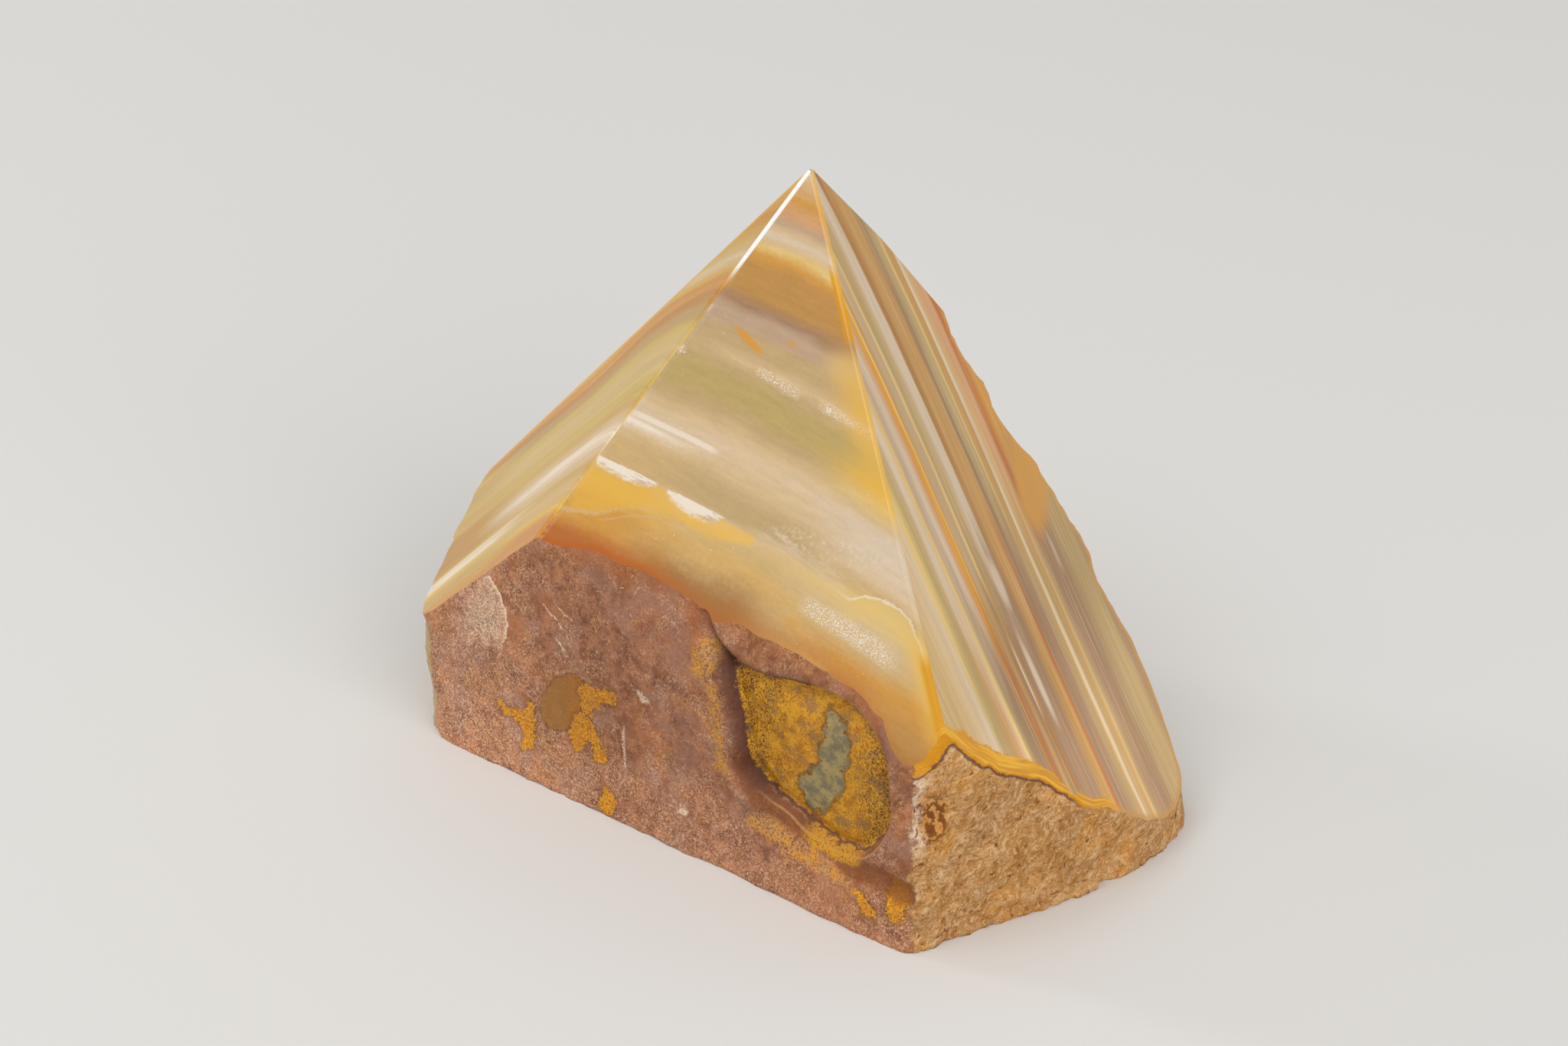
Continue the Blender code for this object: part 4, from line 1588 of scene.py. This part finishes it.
def eye_colour(colour, at):
    inside = at.mark("eye")
    rim = inside + at.wander * 1.3
    left_side = rise(at.right - at.up * 0.35, 10.0, 5.0)
    # Painted shadow on the left wall of the hollow.
    hollow = rise(inside + at.wander * 0.8, -0.7, 0.6) * left_side
    band = inside * 3.2 + at.wander
    lines = rise(abs(band - 0.3), 0.4, 0.15).at_least(rise(abs(band - 2.0), 0.35, 0.12) * 0.7)
    lip = between(inside + at.wander * 1.6, -0.6, 0.8, 0.2) * rise(at.up, 12.0, 10.0)
    lip = lip * between(at.right, 16.5, 23.5, 1.0) * rise(at.fine, 0.38, 0.5)
    return painted(
        colour,
        (hollow * 0.85, HOLLOW_SHADE),
        (lines * (1.0 - left_side) * 0.6, CRUMB),
        (between(band, 0.8, 1.6, 0.2) * (1.0 - left_side) * 0.5, SHADOW_BROWN),
        (lip * 0.9, OCHRE_LIGHT),
        (rise(rim, 0.8, 1.0), eye_floor(at)),
        # A thin painted shade where the floor meets the wall, all round.
        (between(rim, 0.62, 0.86, 0.08) * 0.75, HOLLOW_SHADE),
    )


print("The window is drawn through", len(WINDOW_OUTLINE), "points")

# %% [markdown]
# ## The host rock and the breaks
#
# The host rock is a tan, crumbly volcanic stone with dark pores, drawn out along its bedding.
# Under the facet's rim a thin purple line parts it from the crust, and where it meets the rind it
# is folded, with pale fibres. The breaks show the agate's own bands, duller, because a rough
# surface scatters the light.

# %% The host rock and the breaks
ROCK = shown(190, 142, 90)
ROCK_LIGHT = shown(224, 190, 146)
ROCK_DARK = shown(104, 64, 34)
ROCK_ORANGE = shown(214, 150, 78)
ROCK_BROWN = shown(160, 112, 64)
ROCK_GREY = shown(170, 134, 96)
UMBER_DARK = shown(104, 56, 30)
PURPLE = shown(88, 54, 60)
ROCK_VEIL = (1.2, (0.0, -0.018, -0.028))
FIBRE = shown(232, 214, 190)


def rock_ground(bedded, middle, fine):
    """Tan and grainy, with orange, grey and pale patches, and dark pores."""
    pale = rise(grain(bedded, 0.3, 6.0, 0.75), 0.48, 0.62)
    pores = rise(cells(torn(bedded, 1.8, 0.8), 1.2), 0.3, 0.14) * rise(middle, 0.54, 0.44)
    return painted(
        mix(rise(middle, 0.34, 0.62), ROCK_BROWN, ROCK),
        (rise(grain(bedded, 0.14, 3.0), 0.48, 0.6) * 0.5, ROCK_ORANGE),
        (rise(grain(bedded, 0.2, 4.0, 0.6), 0.52, 0.62) * 0.55, ROCK_GREY),
        (rise(fine, 0.5, 0.62) * 0.7, ROCK_LIGHT),
        (pale * (rise(fine, 0.42, 0.54) * 0.5 + 0.08), ROCK_LIGHT),
        (pores * 0.85, ROCK_DARK),
        (rise(fine, 0.44, 0.32) * 0.75, ROCK_DARK),
    )


def rock_colour(place):
    edge, along_rock = mark(place.finish, "edge"), mark(place.finish, "rock_place")
    bedded = turned(torn(place, 0.4, 2.0), 40.0, 0.75, 1.3, "matrix")
    middle, fine = grain(bedded, 0.8, 6.0, 0.75), grain(bedded, 2.8, 4.0, 0.8)
    wander = middle - 0.5
    reach, height = along_rock + wander * 3.0, dot(place, UP) + wander * 4.0
    folds = rise(reach, -3.5, -5.5) * between(height, 12.5, 18.0, 1.5)
    creased = rise(grain(place, 1.4, 3.0), 0.54, 0.44)
    corner = rise(reach, -6.6, -8.2) * between(height, 12.0, 22.0, 1.5)
    thick = rise(along_rock, -4.2, -5.6) * 1.1 + 0.35
    seam = edge + wander * 0.9 - thick
    colour = painted(
        rock_ground(bedded, middle, fine),
        (folds * 0.5, ROCK_ORANGE),
        (folds * creased * 0.85, UMBER_DARK),
        (corner * rise(fine, 0.4, 0.52) * 0.9, FIBRE),
        (rise(seam, 0.1, -0.1) * rise(along_rock, 13.0, 11.0) * 0.9, CRUST_DEEP),
    )
    purple = between(seam, -0.1, 0.2, 0.1) * rise(along_rock, 12.0, 9.0) * 0.8
    return mix(purple, clearer(colour, *ROCK_VEIL), PURPLE)


def break_colour(place):
    depth = depth_in_stack(place)
    cloud = grain(place, 0.5, 4.0) - 0.5
    ripple = grain(join(depth * 0.5, dot(place, UP) * 0.06, 4.0), 1.0, 5.0, 0.65)
    deeper = mix(rise(ripple, 0.36, 0.5), MAUVE, mix(rise(ripple, 0.5, 0.62), GOLD, CREAM))
    return painted(
        banded_in_two(depth + cloud * 1.4, RIGHT_LOW, RIGHT_LOW_OUTER),
        (rise(depth + cloud * 8.0, 15.0, 22.0), deeper),
        (rise(grain(place, 0.16, 4.0), 0.5, 0.62) * 0.5, ROCK_GREY),
        (rise(grain(place, 1.1, 5.0, 0.75), 0.44, 0.34) * 0.6, ROCK_BROWN),
        (rise(grain(place, 1.8, 4.0, 0.7), 0.5, 0.7) * 0.4, DUST),
        (rise(mark(place.finish, "edge") + cloud * 2.0, 1.6, 0.2) * 0.7, HONEY),
    )


print("The rock's colours are stretched by", ROCK_VEIL[0])

# %% [markdown]
# ## One skin for rind, rock and break
#
# The three walls run into one another with ragged edges, so one finish holds them all and the
# marks say where each begins. A bump adds the pores that are too small for the mesh: they are
# under half a millimetre deep, and strongest in the rock. The sawn face below shows the bands
# again, unpolished.

# %% The skin and the sawn face
RAGGED = 1.3
SKIN_SHINE = 0.3
PORE_STRENGTH, PORE_DEPTH = 0.7, 0.4 * MM
skin = Finish("agate_skin")
place = place_on(skin)
at = RindPlace(place)
colour = eye_colour(rind_colour(at), at)
ragged = (grain(place, 0.45, 5.0, 0.6) - 0.5) * RAGGED
on_rock = rise(mark(skin, "rock") + ragged, 0.4, 0.6)
on_break = rise(mark(skin, "broken") + ragged, 0.4, 0.6)
colour = mix(on_break, mix(on_rock, colour, rock_colour(place)), break_colour(place))
matte = rise(grain(place, 1.2, 4.0), 0.3, 0.7) * 0.2 + 0.42 + on_rock * 0.35
pitted = grain(place, 1.7, 5.0, 0.68) * (on_rock * 1.4 + on_break * 0.7 + 0.5)
pores = {"Strength": PORE_STRENGTH, "Distance": PORE_DEPTH, "Height": pitted}
bumps = skin.node("ShaderNodeBump", sockets=pores)
skin.set(Base_Color=colour, Roughness=matte, IOR=AGATE_INDEX, Specular_IOR_Level=SKIN_SHINE, Normal=bumps)

sawn_finish = Finish("agate_sawn")
place = place_on(sawn_finish)
sawn_finish.set(Base_Color=shade(right_colour(place), 0.85), Roughness=0.5, IOR=AGATE_INDEX)
for material in (skin.material, polished_left, polished_front, polished_right, sawn_finish.material):
    mesh.materials.append(material)
print("Finishes:", [material.name for material in mesh.materials])

# %% [markdown]
# ## The stone stands in for the solid
#
# The dressed stone rides on the only body there is, and replaces the plain solid in the picture.

# %% The stone stands in for the solid
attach(stone, "root")
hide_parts("agate_point")
print("The stone replaces the node agate_point")

# %% [markdown]
# ## Floor, light and camera
#
# A pale sheet, an even sky and two large soft lamps: one on the left and high, one low on the
# right, so that no facet is left in the dark. A narrow strip behind on the left draws the bright
# line down the ridge near the tip, on top of a painted highlight there. Each lamp has the direction
# it stands in, how high, its distance and size in metres, and its power.

# %% Floor and light
FLOOR_SIZE = 6.0
SKY_STRENGTH = 0.5
LAMPS_AIM_AT = UP * 0.03
LAMPS = {
    "key": (215.0, 62.0, 1.0, 0.7, 2.9),
    "fill": (300.0, 30.0, 1.2, 0.9, 6.2),
    "ridge_strip": (158.0, 21.0, 0.8, 0.12, 0.8),
}
bpy.ops.mesh.primitive_plane_add(size=FLOOR_SIZE)
floor = bpy.context.object
floor.name = "floor"
paper = Finish("pale_paper")
paper.set(Base_Color=shown(228, 226, 222), Roughness=0.9)
floor.data.materials.append(paper.material)
floor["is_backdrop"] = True

world = bpy.data.worlds.new("even_sky")
world.use_nodes = True
sky = world.node_tree.nodes["Background"].inputs
sky["Color"].default_value, sky["Strength"].default_value = (1.0, 1.0, 1.0, 1.0), SKY_STRENGTH
bpy.context.scene.world = world


def soft_lamp(name, azimuth, elevation, distance, size, power):
    """A square lamp that faces the stone, from a direction seen from above."""
    lamp = bpy.data.lights.new(name, "AREA")
    lamp.size, lamp.energy = size, power
    holder = bpy.data.objects.new(name, lamp)
    out = facing_up(azimuth, 90.0 - elevation)
    holder.location = out * distance + LAMPS_AIM_AT
    holder.rotation_euler = out.to_track_quat("Z", "Y").to_euler()
    bpy.context.scene.collection.objects.link(holder)


for name, place in LAMPS.items():
    soft_lamp(name, *place)
print(len(LAMPS), "lamps and an even sky")

# %% [markdown]
# ## The camera
#
# The camera looks along +Y and down, as the photographer did, through a long lens that keeps the
# facets' edges nearly parallel.

# %% The camera
LOOK_AT = Vector((-1.66, -4.40, 32.0)) * MM
CAMERA_DISTANCE = 0.4437
CAMERA_AZIMUTH, CAMERA_RISE = 270.0, 30.0
FOCAL_LENGTH, SENSOR_WIDTH = 100.0, 36.0
camera = bpy.data.objects.new("camera", bpy.data.cameras.new("camera"))
camera.data.lens, camera.data.sensor_width = FOCAL_LENGTH, SENSOR_WIDTH
camera.data.clip_start = 0.01
back = facing_up(CAMERA_AZIMUTH, 90.0 - CAMERA_RISE)
camera.location = LOOK_AT + back * CAMERA_DISTANCE
camera.rotation_euler = back.to_track_quat("Z", "Y").to_euler()
bpy.context.scene.collection.objects.link(camera)
bpy.context.scene.camera = camera
bpy.context.scene.view_settings.view_transform = "Standard"
print("The camera is", CAMERA_DISTANCE, "m away")

# %% [markdown]
# ## Sizes, and the end
#
# The box of the dressed stone is kept beside that of the solid.

# %% Sizes and the end
bpy.context.view_layer.update()
boxes = {"cad": cad_box, "visual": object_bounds()}
{name: [list(corner) for corner in box] for name, box in boxes.items()}
